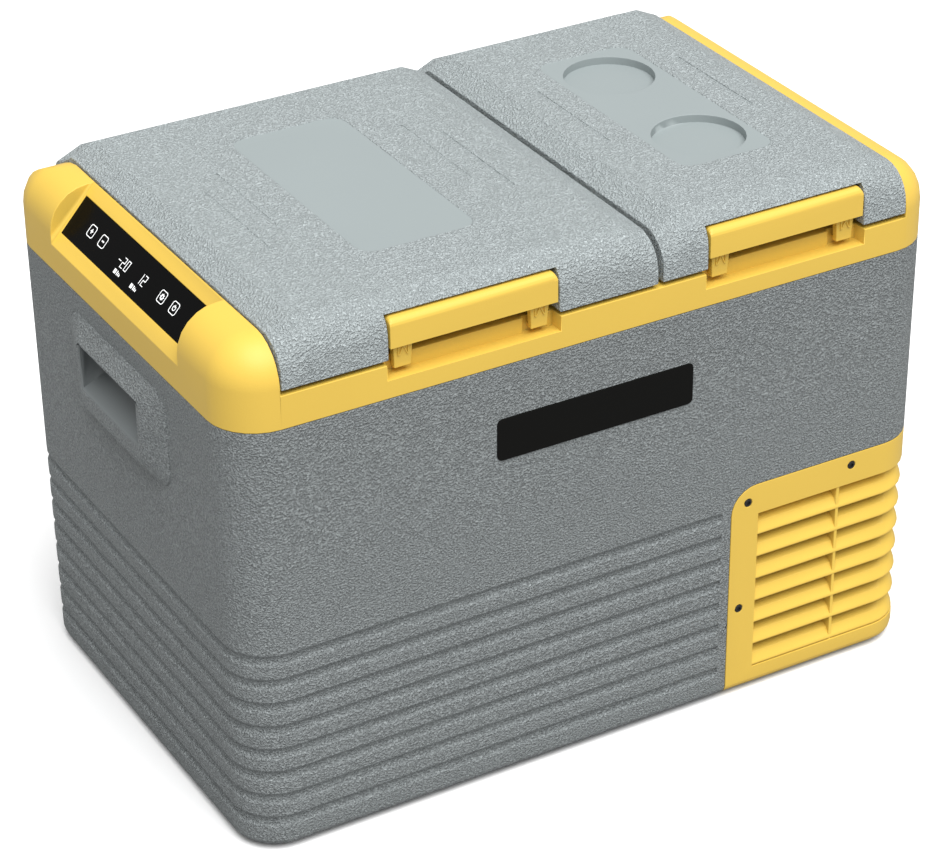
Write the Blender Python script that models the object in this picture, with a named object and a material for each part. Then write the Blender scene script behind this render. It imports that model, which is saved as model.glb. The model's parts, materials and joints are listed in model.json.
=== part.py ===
"""Twin-lid compressor cooler fridge, modelled in metres with +Z up.

The origin is under the middle of the base. +X runs along the front from the control end to the
vent end, and +Y runs to the hinges at the back.
"""

import math

import bmesh
import bpy
from mathutils import Matrix, Vector

# Overall sizes
LENGTH = 0.660
DEPTH = 0.4226
LEDGE_HEIGHT = 0.4264
CORNER_RADIUS = 0.0426
CORNER_STEPS = 7
DRAFT = 0.003
DRAFT_RUN = 0.397
ROUND_SIDES = 12

# Clearances
GAP = 0.0003
RUNNING_GAP = 0.0003
LID_GAP = 0.0041
LID_SIDE_GAP = 0.0012

# Outer shell
FOOT_HEIGHT = 0.004
BASE_FILLET = 0.008
FLOOR = 0.005
SHELL_WALL = 0.0035
RIB_COUNT = 8
RIB_PITCH = 0.0225
RIB_TOP = 0.1825
RIB_GROOVE = 0.0105
RIB_RAMP = 0.003
RIB_DEPTH = 0.0028
RIB_MARGIN = 0.009
RIB_RUNOUT = 0.005

# Handle at each end
HANDLE_PROUD = 0.010
HANDLE_DROP = 0.018
HANDLE_HEIGHT = 0.087
HANDLE_HALF = 0.092
HANDLE_SLOPE_TOP = 0.016
HANDLE_SLOPE_BOTTOM = 0.012
HANDLE_SLOPE_SIDE = 0.027
HANDLE_CORNER = 0.018
POCKET_HALF = 0.054
POCKET_DROP = 0.019
POCKET_HEIGHT = 0.040
POCKET_DEPTH = 0.030
POCKET_RADIUS = 0.006

# Vent boot at the lower right end
VENT_LENGTH = 0.1995
VENT_TOP = 0.2105
VENT_CORNER = 0.025
VENT_WALL = 0.003
VENT_FLANGE_SIDE = 0.0215
VENT_FLANGE_TOP = 0.024
VENT_SILL = 0.006
LOUVRE_COUNT = 7
LOUVRE_PITCH = 0.0225
LOUVRE_TOP = 0.181
LOUVRE_INSET = 0.0275
LOUVRE_DEPTH = 0.0085
LOUVRE_THICKNESS = 0.0022
LOUVRE_LIP = 0.0012
LOUVRE_SINK = 0.0004
LOUVRE_DROP = 0.0035
LOUVRE_BELLY = 0.42
LOUVRE_END_Y = 0.130
LOUVRE_BAR = 0.003
LOUVRE_BAR_FRONT = 0.1105
LOUVRE_BAR_STEP = 0.090
SCREW_HEAD_RADIUS = 0.0036
SCREW_SHANK_RADIUS = 0.0016
SCREW_LENGTH = 0.0048
SCREW_HEAD = 0.0014
SCREW_SINK = 0.0016
SCREW_CORNER_IN = 0.0165
SCREW_CORNER_DROP = 0.0157
SCREW_TOP_IN = 0.1230
SCREW_TOP_DROP = 0.0110
SCREW_SIDE_IN = 0.0110
SCREW_SIDE_DROP = 0.1210

# Badge plate on the front
BADGE_LENGTH = 0.185
BADGE_HEIGHT = 0.038
BADGE_CENTRE_X = -0.006
BADGE_DROP = 0.067
BADGE_THICKNESS = 0.0016
BADGE_SINK = 0.0012
BADGE_CORNER = 0.005

# Top frame
BLOCK_LEFT = 0.043
BLOCK_RIGHT = 0.035
FRAME_HEIGHT = 0.0294
BLOCK_RISE = 0.0416
BLOCK_RADIUS = 0.036
BLOCK_BACK_RADIUS = 0.058
BLOCK_BACK_RUNOUT = 0.020
BLOCK_HOLLOW = 0.018
BLOCK_WALL = 0.006
LID_SPLIT = 0.2765
SPLIT_GAP = 0.005

# Control panel in the left block
PANEL_LENGTH = 0.237
PANEL_WIDTH = 0.0365
PANEL_SETBACK = 0.008
PANEL_RISE = 0.0056
PANEL_SLOPE = 47.8
PANEL_THICKNESS = 0.0025
PANEL_SHOULDER = 0.002
BOARD_THICKNESS = 0.0016
BOARD_MARGIN = 0.0045
BOARD_POCKET = 0.006

# Lids
LID_RISE = 0.0526
LID_FRONT_RADIUS = 0.029
LID_HEEL_RADIUS = 0.006
LID_BACK_RADIUS = 0.018
LID_BACK_DROP = 0.013
LID_BEVEL = 0.022
LID_BEVEL_DROP = 0.010
LID_WALL = 0.003
LID_FRONT_WALL = 0.027
LID_ROOF = 0.016
PAD_LENGTH = 0.239
PAD_WIDTH_LEFT = 0.104
PAD_WIDTH_RIGHT = 0.092
PAD_SINK = 0.0008
PAD_CORNER = 0.014
PAD_FORWARD = 0.008
CUP_DIAMETER = 0.080
CUP_SPACING = 0.141
CUP_DEPTH = 0.007
CUP_SIDES = 32
STRIPE_WIDTH = 0.0026
STRIPE_SINK = 0.0007
STRIPE_LENGTH = 0.118
STRIPE_STEP = 0.023
STRIPE_STAGGER = 0.030

# Lid trays and gaskets
TRAY_THICKNESS = 0.0025
PLUG_DEPTH = 0.014
PLUG_CLEARANCE = 0.004
GASKET_WIDTH = 0.012
GASKET_CLEARANCE = 0.002

# Hinges
HINGE_BACK = 0.011
HINGE_RISE = 0.014
HINGE_LUG_RADIUS = 0.0075
HINGE_LUG_WIDTH = 0.014
HINGE_NOTCH_GAP = 0.001
HINGE_PIN_RADIUS = 0.003
HINGE_PIN_LENGTH = 0.034
HINGE_INSET = 0.055

# Latches
LATCH_LENGTH = 0.1495
LATCH_RISE = 0.0136
LATCH_HEIGHT = 0.025
LATCH_THICKNESS = 0.0148
LATCH_ROUND = 0.006
LATCH_SIDE_GAP = 0.0018
LATCH_TOP_GAP = 0.0022
LATCH_NOTCH_DEPTH = 0.0203
LATCH_PIVOT_DROP = 0.008
LATCH_PIVOT_IN = 0.0085
LATCH_PIN_RADIUS = 0.002
LATCH_PIN_SEAT = 0.006
LEG_WIDTH = 0.018
LEG_FOOT_WIDTH = 0.015
LEG_INSET = 0.0045
LEG_DROP = 0.0215
LEG_IN = 0.005
LEG_THICKNESS = 0.0068
LEG_RIB = 0.0012
TONGUE_HEIGHT = 0.0034
TONGUE_REACH = 0.0034
RECESS_SIDE = 0.003
RECESS_DROP = 0.0134
RECESS_DEPTH = 0.0134
TONGUE_NOTCH = 0.0035
TONGUE_NOTCH_SIDE = 0.002

# Compartments
OPENING_FRONT = 0.0393
OPENING_END_LEFT = 0.072
OPENING_END_RIGHT = 0.060
OPENING_DIVIDER = 0.034
OPENING_CORNER = 0.030
LINER_WALL = 0.0025
LINER_DRAFT = 0.004
LINER_CLEARANCE = 0.0004
RIM_WIDTH = 0.007
RIM_THICKNESS = 0.002
RIM_SEAT = 0.0024
LARGE_FLOOR = 0.062
SMALL_FLOOR = 0.262
FOAM_SKIN = 0.002
EVAPORATOR_THICKNESS = 0.0011
EVAPORATOR_LOW = 0.090
EVAPORATOR_HIGH = 0.340

# Machine bay
BAY_WIDTH = 0.212
BAY_HEIGHT = 0.216
PARTITION = 0.002
BASE_PLATE = 0.002
BASE_PLATE_MARGIN = 0.030
COMPRESSOR_RADIUS = 0.050
COMPRESSOR_HEIGHT = 0.120
COMPRESSOR_FLANGE = 0.003
COMPRESSOR_FLANGE_HALF = 0.058
COMPRESSOR_IN = 0.110
COMPRESSOR_FORWARD = 0.088
GROMMET_RADIUS = 0.009
GROMMET_BORE = 0.0035
GROMMET_HEIGHT = 0.010
GROMMET_SPACING = 0.096
FAN_SIZE = 0.120
FAN_DEPTH = 0.025
FAN_BORE = 0.055
FAN_IN = 0.062
FAN_Y = 0.070
FAN_RISE = 0.006
FAN_HUB_RADIUS = 0.021
FAN_TIP_GAP = 0.0015
FAN_BLADES = 7
FAN_BLADE_THICKNESS = 0.0016
FAN_BLADE_PITCH = 38.0
FAN_STRUT = 0.006
FAN_STRUT_DEPTH = 0.004
FAN_SHAFT_RADIUS = 0.0025
CONDENSER_DEPTH = 0.030
CONDENSER_FINS = 9
CONDENSER_FIN = 0.002
DRIVER_LENGTH = 0.100
DRIVER_HEIGHT = 0.070
DRIVER_DEPTH = 0.022
DRIVER_RISE = 0.060

# Power inlet in the back of the vent boot
INLET_LENGTH = 0.044
INLET_HEIGHT = 0.028
INLET_DEPTH = 0.024
INLET_FLANGE = 0.005
INLET_FLANGE_SINK = 0.0015
INLET_SOCKET_LENGTH = 0.032
INLET_SOCKET_HEIGHT = 0.015
INLET_SOCKET_DEPTH = 0.016
INLET_IN = 0.100
INLET_RISE = 0.115
CONTACT_RADIUS = 0.002
CONTACT_SPACING = 0.014
CONTACT_LENGTH = 0.012

# Feet
FOOT_RADIUS = 0.018
FOOT_SPIGOT_RADIUS = 0.006
FOOT_SPIGOT = 0.003
FOOT_INSET_X = 0.070
FOOT_INSET_Y = 0.060

# Places worked out from the sizes above
END_X = LENGTH / 2
FRONT_Y = -DEPTH / 2
BACK_Y = DEPTH / 2
WALL = SHELL_WALL + RIB_DEPTH
FLOOR_TOP = FOOT_HEIGHT + FLOOR
SEAM_HEIGHT = LEDGE_HEIGHT - FRAME_HEIGHT
BLOCK_TOP = LEDGE_HEIGHT + BLOCK_RISE
LID_TOP = LEDGE_HEIGHT + LID_RISE
LID_CAVITY_TOP = LID_TOP - LID_ROOF
LID_BACK_WALL = LID_BACK_RADIUS + LID_BEVEL
HANDLE_TOP = SEAM_HEIGHT - HANDLE_DROP
HANDLE_BOTTOM = HANDLE_TOP - HANDLE_HEIGHT
POCKET_TOP = HANDLE_TOP - POCKET_DROP
POCKET_BOTTOM = POCKET_TOP - POCKET_HEIGHT
BADGE_CENTRE_Z = SEAM_HEIGHT - BADGE_DROP
FRAME_BASE = SEAM_HEIGHT + GAP
LID_BOTTOM = LEDGE_HEIGHT + LID_GAP
VENT_X = END_X - VENT_LENGTH
RIB_END = VENT_X - RIB_MARGIN
LOUVRE_X = VENT_X + LOUVRE_INSET
BLOCK_LEFT_X = -END_X + BLOCK_LEFT
BLOCK_RIGHT_X = END_X - BLOCK_RIGHT
SPLIT_X = END_X - LID_SPLIT
HINGE_Y = BACK_Y - HINGE_BACK
HINGE_Z = LEDGE_HEIGHT + HINGE_RISE
LATCH_BASE = LEDGE_HEIGHT + LATCH_RISE
LATCH_TOP = LATCH_BASE + LATCH_HEIGHT
LATCH_PIVOT_Y = FRONT_Y + LATCH_PIVOT_IN
LATCH_PIVOT_Z = LATCH_TOP - LATCH_PIVOT_DROP
BAY_X = END_X - BAY_WIDTH
BAY_FLOOR = FLOOR_TOP + GAP + BASE_PLATE

# Lids and compartments, as (low x, high x)
LID_SPANS = {
    "left": (BLOCK_LEFT_X + LID_SIDE_GAP, SPLIT_X - SPLIT_GAP / 2),
    "right": (SPLIT_X + SPLIT_GAP / 2, BLOCK_RIGHT_X - LID_SIDE_GAP),
}
OPENING_SPANS = {
    "large": (-END_X + OPENING_END_LEFT, SPLIT_X - OPENING_DIVIDER / 2),
    "small": (SPLIT_X + OPENING_DIVIDER / 2, END_X - OPENING_END_RIGHT),
}
OPENING_Y = (FRONT_Y + OPENING_FRONT, BACK_Y - OPENING_FRONT)
COMPARTMENT_OF_LID = {"left": "large", "right": "small"}
PAD_WIDTHS = {"left": PAD_WIDTH_LEFT, "right": PAD_WIDTH_RIGHT}

# Finishes: colour, roughness, metallic
GREY_PLASTIC = ((0.235, 0.262, 0.270), 0.62, 0.0)
YELLOW_PLASTIC = ((0.800, 0.520, 0.085), 0.45, 0.0)
BLACK_GLASS = ((0.008, 0.008, 0.009), 0.08, 0.0)
BLACK_PLASTIC = ((0.015, 0.015, 0.016), 0.40, 0.0)
WHITE_PLASTIC = ((0.780, 0.790, 0.790), 0.40, 0.0)
CREAM_FOAM = ((0.830, 0.760, 0.560), 0.90, 0.0)
DARK_RUBBER = ((0.020, 0.020, 0.021), 0.80, 0.0)
GREY_SEAL = ((0.150, 0.155, 0.160), 0.75, 0.0)
STEEL = ((0.560, 0.570, 0.580), 0.30, 1.0)
DARK_STEEL = ((0.040, 0.040, 0.042), 0.45, 1.0)
ALUMINIUM = ((0.720, 0.730, 0.740), 0.35, 1.0)
BLACK_ENAMEL = ((0.012, 0.012, 0.013), 0.35, 0.0)
GREEN_BOARD = ((0.020, 0.120, 0.050), 0.50, 0.0)


# Shape helpers

def clear_scene():
    """Removes everything that the scene holds."""
    for obj in list(bpy.data.objects):
        bpy.data.objects.remove(obj)


def place(name, bm):
    """Links a closed bmesh as a named object."""
    bmesh.ops.recalc_face_normals(bm, faces=bm.faces)
    mesh = bpy.data.meshes.new(name)
    bm.to_mesh(mesh)
    bm.free()
    obj = bpy.data.objects.new(name, mesh)
    bpy.context.scene.collection.objects.link(obj)
    return obj


def solid(name, bm, finish):
    """Links a closed bmesh as a named object with its own material."""
    obj = place(name, bm)
    colour, roughness, metallic = finish
    material = bpy.data.materials.new(name + "_finish")
    material.use_nodes = True
    shader = material.node_tree.nodes["Principled BSDF"]
    shader.inputs["Base Color"].default_value = (*colour, 1.0)
    shader.inputs["Roughness"].default_value = roughness
    shader.inputs["Metallic"].default_value = metallic
    obj.data.materials.append(material)
    return obj


def combine(target, bm, operation="DIFFERENCE"):
    """Applies a Boolean of one bmesh, or of another object, to the target."""
    tool = bm if isinstance(bm, bpy.types.Object) else place("tool", bm)
    modifier = target.modifiers.new("combine", "BOOLEAN")
    modifier.operation = operation
    modifier.solver = "EXACT"
    modifier.object = tool
    graph = bpy.context.evaluated_depsgraph_get()
    shaped = bpy.data.meshes.new_from_object(target.evaluated_get(graph))
    target.modifiers.clear()
    old = target.data
    target.data = shaped
    bpy.data.meshes.remove(old)
    bpy.data.objects.remove(tool)
    return target


def finish_shading(obj):
    """Shades round faces smooth and keeps the creases."""
    obj.data.shade_smooth()
    obj.data.set_sharp_from_angle(angle=math.radians(35))


def loft(rings):
    """Bridges closed rings of equal count in order and caps both ends."""
    bm = bmesh.new()
    loops = [[bm.verts.new(point) for point in ring] for ring in rings]
    for lower, upper in zip(loops, loops[1:]):
        for i in range(len(lower)):
            j = (i + 1) % len(lower)
            bm.faces.new((lower[i], lower[j], upper[j], upper[i]))
    bm.faces.new(reversed(loops[0]))
    bm.faces.new(loops[-1])
    return bm


def lift(points, axis, at):
    """Puts flat (u, v) points in space: (y, z) across X, (x, z) across Y or (x, y) across Z."""
    if axis == "X":
        return [Vector((at, u, v)) for u, v in points]
    if axis == "Y":
        return [Vector((u, at, v)) for u, v in points]
    return [Vector((u, v, at)) for u, v in points]


def prism(points, axis, start, end):
    """Extrudes a flat outline along one axis."""
    return loft([lift(points, axis, start), lift(points, axis, end)])


def box(low, high):
    """A plain block between two corners."""
    bm = bmesh.new()
    bmesh.ops.create_cube(bm, size=1.0)
    for vert in bm.verts:
        vert.co = Vector(low[i] if vert.co[i] < 0 else high[i] for i in range(3))
    return bm


def arc(centre, radius, start, end, steps):
    """Points along an arc, with its angles in degrees."""
    angles = [math.radians(start + (end - start) * i / steps) for i in range(steps + 1)]
    return [(centre[0] + radius * math.cos(a), centre[1] + radius * math.sin(a)) for a in angles]


def rounded_rectangle(u_span, v_span, radius, steps=4):
    """Outline of a rectangle with round corners, counter-clockwise."""
    (u0, u1), (v0, v1) = u_span, v_span
    corners = ((u1, v0, -90), (u1, v1, 0), (u0, v1, 90), (u0, v0, 180))
    points = []
    for u, v, start in corners:
        centre_u = u + (-radius if u == u1 else radius)
        centre_v = v + (-radius if v == v1 else radius)
        points += arc((centre_u, centre_v), radius, start, start + 90, steps)
    return points


def disc(centre, radius, sides):
    """Outline of a regular polygon that stands for a circle."""
    return arc(centre, radius, 0, 360 - 360 / sides, sides - 1)


def rod(centre, radius, axis, start, end, sides=ROUND_SIDES):
    """A round bar along one axis, centred on a flat (u, v) point."""
    return prism(disc(centre, radius, sides), axis, start, end)


def grow(span, by):
    """A span widened by the same amount at both ends."""
    return (span[0] - by, span[1] + by)


def centred(middle, length):
    """A span of the given length around a middle."""
    return (middle - length / 2, middle + length / 2)


def carry(pivot_name, pivot, pieces):
    """Parents pieces to an empty that stands on their joint's axis."""
    empty = bpy.data.objects.new(pivot_name, None)
    empty.location = pivot
    bpy.context.scene.collection.objects.link(empty)
    for piece in pieces:
        piece.data.transform(Matrix.Translation(-Vector(pivot)))
        piece.parent = empty


# The wall outline: a rounded rectangle walked from the middle of the front

FLAT_FRONT = END_X - CORNER_RADIUS
FLAT_END = BACK_Y - CORNER_RADIUS
CORNER_LENGTH = CORNER_RADIUS * math.pi / 2
END_START = FLAT_FRONT + CORNER_LENGTH
END_STOP = END_START + 2 * FLAT_END
HALF_GIRTH = END_STOP + CORNER_LENGTH + FLAT_FRONT


def wall_point(distance):
    """Point and outward normal at a signed distance round the wall, to the right when positive."""
    side = 1 if distance >= 0 else -1
    s = abs(distance)
    if s <= FLAT_FRONT:
        point, normal = (s, FRONT_Y), (0, -1)
    elif s <= END_START:
        angle = -math.pi / 2 + (s - FLAT_FRONT) / CORNER_RADIUS
        normal = (math.cos(angle), math.sin(angle))
        point = (FLAT_FRONT + CORNER_RADIUS * normal[0], -FLAT_END + CORNER_RADIUS * normal[1])
    elif s <= END_STOP:
        point, normal = (END_X, -FLAT_END + s - END_START), (1, 0)
    elif s <= END_STOP + CORNER_LENGTH:
        angle = (s - END_STOP) / CORNER_RADIUS
        normal = (math.cos(angle), math.sin(angle))
        point = (FLAT_FRONT + CORNER_RADIUS * normal[0], FLAT_END + CORNER_RADIUS * normal[1])
    else:
        point, normal = (HALF_GIRTH - s, BACK_Y), (0, 1)
    return Vector((side * point[0], point[1])), Vector((side * normal[0], normal[1]))


def corner_stations():
    """Distances of the facet lines in the two corners on the right."""
    steps = [CORNER_LENGTH * i / CORNER_STEPS for i in range(CORNER_STEPS + 1)]
    return [FLAT_FRONT + s for s in steps] + [END_STOP + s for s in steps]


def wall_stations(extra=()):
    """All stations round the wall, from the back round the left, front and right."""
    half = corner_stations()
    return sorted(set([-s for s in half] + half + list(extra)))


def wall_path(start, end):
    """Stations from one distance to another, with the facet lines between them."""
    inner = [s for s in wall_stations() if start < s < end]
    return [start] + inner + [end]


def draft_at(z):
    """How far the wall leans in at a height."""
    return DRAFT * (1 - min(z, DRAFT_RUN) / DRAFT_RUN)


def wall_ring(stations, z, inset, extra_inset=None):
    """A level ring set in from the wall, with an extra inset that may depend on the place."""
    ring = []
    for s in stations:
        point, normal = wall_point(s)
        depth = inset + (extra_inset(point.x) if extra_inset else 0.0)
        ring.append(Vector((point.x - normal.x * depth, point.y - normal.y * depth, z)))
    return ring


def wall_sweep(profile, start, end):
    """Sweeps a closed (depth, height) profile along the wall, following its draft."""
    rings = []
    for s in wall_path(start, end):
        point, normal = wall_point(s)
        rings.append([
            Vector((point.x - normal.x * (d + draft_at(z)), point.y - normal.y * (d + draft_at(z)), z))
            for d, z in profile
        ])
    return loft(rings)


def band(depths, heights):
    """A rectangular (depth, height) profile for a sweep."""
    (d0, d1), (z0, z1) = depths, heights
    return [(d0, z0), (d1, z0), (d1, z1), (d0, z1)]


# Outer shell

def rib_inset(x):
    """Share of the groove depth at a place: full on the plain walls, none beside the vent boot."""
    return min(1.0, max(0.0, (RIB_END - x) / RIB_RUNOUT))


def shell_blank():
    """The ribbed tub, lofted up the outside and down the inside."""
    ends = [RIB_END - RIB_RUNOUT, RIB_END]
    stations = wall_stations(ends + [HALF_GIRTH - x for x in ends])
    rings = []
    for t in (0, 30, 60, 90):
        inset = BASE_FILLET * (1 - math.sin(math.radians(t)))
        z = FOOT_HEIGHT + BASE_FILLET * (1 - math.cos(math.radians(t)))
        rings.append(wall_ring(stations, z, draft_at(z) + inset))
    for i in reversed(range(RIB_COUNT)):
        land = RIB_TOP - i * RIB_PITCH
        levels = ((0, 0), (RIB_RAMP, 1), (RIB_GROOVE - RIB_RAMP, 1), (RIB_GROOVE, 0))
        for rise, share in levels:
            z = land + rise
            depth = share * RIB_DEPTH
            rings.append(wall_ring(stations, z, draft_at(z), lambda x, depth=depth: depth * rib_inset(x)))
    rings.append(wall_ring(stations, SEAM_HEIGHT, 0.0))
    rings.append(wall_ring(stations, SEAM_HEIGHT, WALL))
    rings.append(wall_ring(stations, FLOOR_TOP, WALL + draft_at(FLOOR_TOP)))
    return loft(rings)


def handle_ring(side, x, inset):
    """One level of the handle boss, drawn in by a share of its slopes."""
    y_span = grow((-HANDLE_HALF, HANDLE_HALF), -HANDLE_SLOPE_SIDE * inset)
    z_span = (HANDLE_BOTTOM + HANDLE_SLOPE_BOTTOM * inset, HANDLE_TOP - HANDLE_SLOPE_TOP * inset)
    return lift(rounded_rectangle(y_span, z_span, HANDLE_CORNER), "X", side * x)


def handle_boss(side):
    """The sloped boss that stands out of an end wall."""
    root = END_X - SHELL_WALL
    tip = END_X + HANDLE_PROUD
    return loft([handle_ring(side, root, 0.0), handle_ring(side, END_X, 0.0), handle_ring(side, tip, 1.0)])


def handle_housing(side):
    """The box behind the finger pocket, inside the wall."""
    wall = SHELL_WALL
    low = (END_X + HANDLE_PROUD - POCKET_DEPTH - wall, -POCKET_HALF - wall, POCKET_BOTTOM - wall)
    high = (END_X - WALL / 2, POCKET_HALF + wall, POCKET_TOP + 2 * wall)
    x_span = sorted((side * low[0], side * high[0]))
    return box((x_span[0], *low[1:]), (x_span[1], *high[1:]))


def handle_pocket(side):
    """The finger pocket: level under the top lip, sloping up from the lower lip to the back."""
    tip = END_X + HANDLE_PROUD
    back = tip - POCKET_DEPTH
    slope = (POCKET_TOP - POCKET_BOTTOM) / 3
    outline = [
        (tip + HANDLE_PROUD, POCKET_BOTTOM),
        (tip, POCKET_BOTTOM),
        (back, POCKET_BOTTOM + slope),
        (back, POCKET_TOP + SHELL_WALL),
        (tip - HANDLE_PROUD, POCKET_TOP + SHELL_WALL),
        (tip, POCKET_TOP),
        (tip + HANDLE_PROUD, POCKET_TOP),
    ]
    bm = prism([(side * x, z) for x, z in outline], "Y", -POCKET_HALF, POCKET_HALF)
    bmesh.ops.recalc_face_normals(bm, faces=bm.faces)
    edges = [e for e in bm.edges if abs(e.verts[0].co.y - e.verts[1].co.y) > POCKET_HALF]
    upper = [e for e in edges if e.verts[0].co.z > POCKET_TOP and abs(e.verts[0].co.x) < tip]
    bmesh.ops.bevel(bm, geom=upper, offset=POCKET_RADIUS / 2, segments=2, affect="EDGES", profile=0.5)
    return bm


def vent_corner(gap):
    """The prism outside the vent boot's round top corner."""
    x0 = VENT_X - gap
    z1 = VENT_TOP + gap
    radius = VENT_CORNER + gap
    reach = VENT_CORNER
    bend = arc((x0 + radius, z1 - radius), radius, 180, 90, 6)
    outline = [(x0 - reach, z1 - radius)] + bend + [(x0 + radius, z1 + reach), (x0 - reach, z1 + reach)]
    return prism(outline, "Y", 2 * FRONT_Y, 2 * BACK_Y)


def vent_sweep(profile, inset):
    """Sweeps a profile round the vent end, starting and ending a distance inside its edges."""
    start = VENT_X + inset
    return wall_sweep(profile, start, HALF_GIRTH - start)


def make_shell():
    """The grey outer shell with handles, the vent opening and the badge recess."""
    shell = solid("outer_shell", shell_blank(), GREY_PLASTIC)
    for side in (-1, 1):
        combine(shell, handle_boss(side), "UNION")
        combine(shell, handle_housing(side), "UNION")
        combine(shell, handle_pocket(side))
    outside = -CORNER_RADIUS / 4
    heel = FOOT_HEIGHT + BASE_FILLET + GAP
    rabbet = [
        (outside, -FOOT_HEIGHT),
        (BASE_FILLET + GAP, -FOOT_HEIGHT),
        (BASE_FILLET + GAP, heel),
        (VENT_WALL + GAP, heel),
        (VENT_WALL + GAP, VENT_TOP + GAP),
        (outside, VENT_TOP + GAP),
    ]
    seat = place("seat", vent_sweep(rabbet, -GAP))
    combine(seat, vent_corner(GAP))
    combine(shell, seat)
    window = band((outside, 2 * WALL), (FLOOR_TOP + VENT_SILL, VENT_TOP - VENT_FLANGE_TOP))
    combine(shell, vent_sweep(window, VENT_FLANGE_SIDE))
    combine(shell, badge_outline(BADGE_SINK, GAP))
    for _, (x, z, side) in screw_places():
        depth = side * (FRONT_Y + 2 * WALL)
        combine(shell, rod((x, z), SCREW_SHANK_RADIUS + GAP, "Y", side * FRONT_Y, depth))
    for x, y in foot_places():
        combine(shell, rod((x, y), FOOT_SPIGOT_RADIUS + GAP, "Z", 0.0, FOOT_HEIGHT + FOOT_SPIGOT + GAP))
    return shell


def badge_outline(depth, gap):
    """The badge plate's block, from in front of the wall to a depth behind it."""
    x_span = grow(centred(BADGE_CENTRE_X, BADGE_LENGTH), gap)
    z_span = grow(centred(BADGE_CENTRE_Z, BADGE_HEIGHT), gap)
    surface = FRONT_Y + draft_at(BADGE_CENTRE_Z)
    outline = rounded_rectangle(x_span, z_span, BADGE_CORNER + gap)
    return prism(outline, "Y", surface - BADGE_THICKNESS, surface + depth)


def make_badge():
    """The bare black plate on the front."""
    x_span = centred(BADGE_CENTRE_X, BADGE_LENGTH)
    z_span = centred(BADGE_CENTRE_Z, BADGE_HEIGHT)
    floor = FRONT_Y + draft_at(BADGE_CENTRE_Z) + BADGE_SINK - GAP
    outline = rounded_rectangle(x_span, z_span, BADGE_CORNER)
    return solid("badge_plate", prism(outline, "Y", floor - BADGE_THICKNESS, floor), BLACK_PLASTIC)


# Vent boot

def louvre_profile(top):
    """One louvre: a blade that leans out from behind its slot to a lip at the wall."""
    foot = top - LOUVRE_PITCH + LOUVRE_LIP
    head = top - LOUVRE_DROP
    middle = (head + foot) / 2
    belly = LOUVRE_DEPTH * LOUVRE_BELLY
    back = LOUVRE_THICKNESS
    return [
        (LOUVRE_SINK, foot),
        (LOUVRE_SINK + back, foot),
        (belly + back, middle),
        (LOUVRE_DEPTH + back, head),
        (LOUVRE_DEPTH, head),
        (belly, middle + LOUVRE_LIP),
        (LOUVRE_SINK, foot + 2 * LOUVRE_LIP),
    ]


def screw_places():
    """Grille screws on the front and on the back, as names and (x, z, side)."""
    spots = (
        ("corner", VENT_X + SCREW_CORNER_IN, VENT_TOP - SCREW_CORNER_DROP),
        ("top", VENT_X + SCREW_TOP_IN, VENT_TOP - SCREW_TOP_DROP),
        ("side", VENT_X + SCREW_SIDE_IN, VENT_TOP - SCREW_SIDE_DROP),
    )
    places = []
    for face, side in (("front", 1), ("back", -1)):
        places += [(f"grille_screw_{face}_{name}", (x, z, side)) for name, x, z in spots]
    return places


def make_grille():
    """The yellow louvred boot round the lower right end."""
    fillet = [math.radians(t) for t in (0, 30, 60, 90)]
    base = FOOT_HEIGHT + BASE_FILLET
    inner = BASE_FILLET - VENT_WALL
    outside = [(BASE_FILLET - BASE_FILLET * math.sin(t), base - BASE_FILLET * math.cos(t)) for t in fillet]
    inside = [(BASE_FILLET - inner * math.sin(t), base - inner * math.cos(t)) for t in reversed(fillet)]
    panel = outside + [(0.0, VENT_TOP), (VENT_WALL, VENT_TOP)] + inside
    grille = solid("vent_grille", vent_sweep(panel, 0.0), YELLOW_PLASTIC)
    combine(grille, vent_corner(0.0))
    start = LOUVRE_X
    end = END_START + FLAT_END + LOUVRE_END_Y
    low = LOUVRE_TOP - LOUVRE_COUNT * LOUVRE_PITCH
    reach = LOUVRE_DEPTH + LOUVRE_THICKNESS
    surround = band((VENT_WALL / 2, reach), (low - LOUVRE_BAR, LOUVRE_TOP + LOUVRE_BAR))
    combine(grille, wall_sweep(surround, start - LOUVRE_BAR, end + LOUVRE_BAR), "UNION")
    combine(grille, wall_sweep(band((-VENT_WALL, 2 * reach), (low, LOUVRE_TOP)), start, end))
    comb = band((VENT_WALL / 4, reach - LOUVRE_SINK), (low - LOUVRE_LIP, LOUVRE_TOP + LOUVRE_LIP))
    first_bar = VENT_X + LOUVRE_BAR_FRONT
    bars = [first_bar]
    bar = END_START + LOUVRE_BAR_STEP / 2
    while bar < end - LOUVRE_BAR_STEP / 2:
        bars.append(bar)
        bar += LOUVRE_BAR_STEP
    for s in bars:
        combine(grille, wall_sweep(comb, s - LOUVRE_BAR / 2, s + LOUVRE_BAR / 2), "UNION")
    for i in range(LOUVRE_COUNT):
        profile = louvre_profile(LOUVRE_TOP - i * LOUVRE_PITCH)
        blade = wall_sweep(profile, start - LOUVRE_BAR / 2, end + LOUVRE_BAR / 2)
        combine(grille, blade, "UNION")
    for _, (x, z, side) in screw_places():
        surface = side * (FRONT_Y + draft_at(z))
        sink = surface + side * (SCREW_SINK + GAP)
        combine(grille, rod((x, z), SCREW_HEAD_RADIUS + GAP, "Y", 2 * surface, sink))
        combine(grille, rod((x, z), SCREW_SHANK_RADIUS + GAP, "Y", 2 * surface, 0.0))
    combine(grille, inlet_flange(GAP))
    combine(grille, inlet_body(GAP))
    return grille


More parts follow.
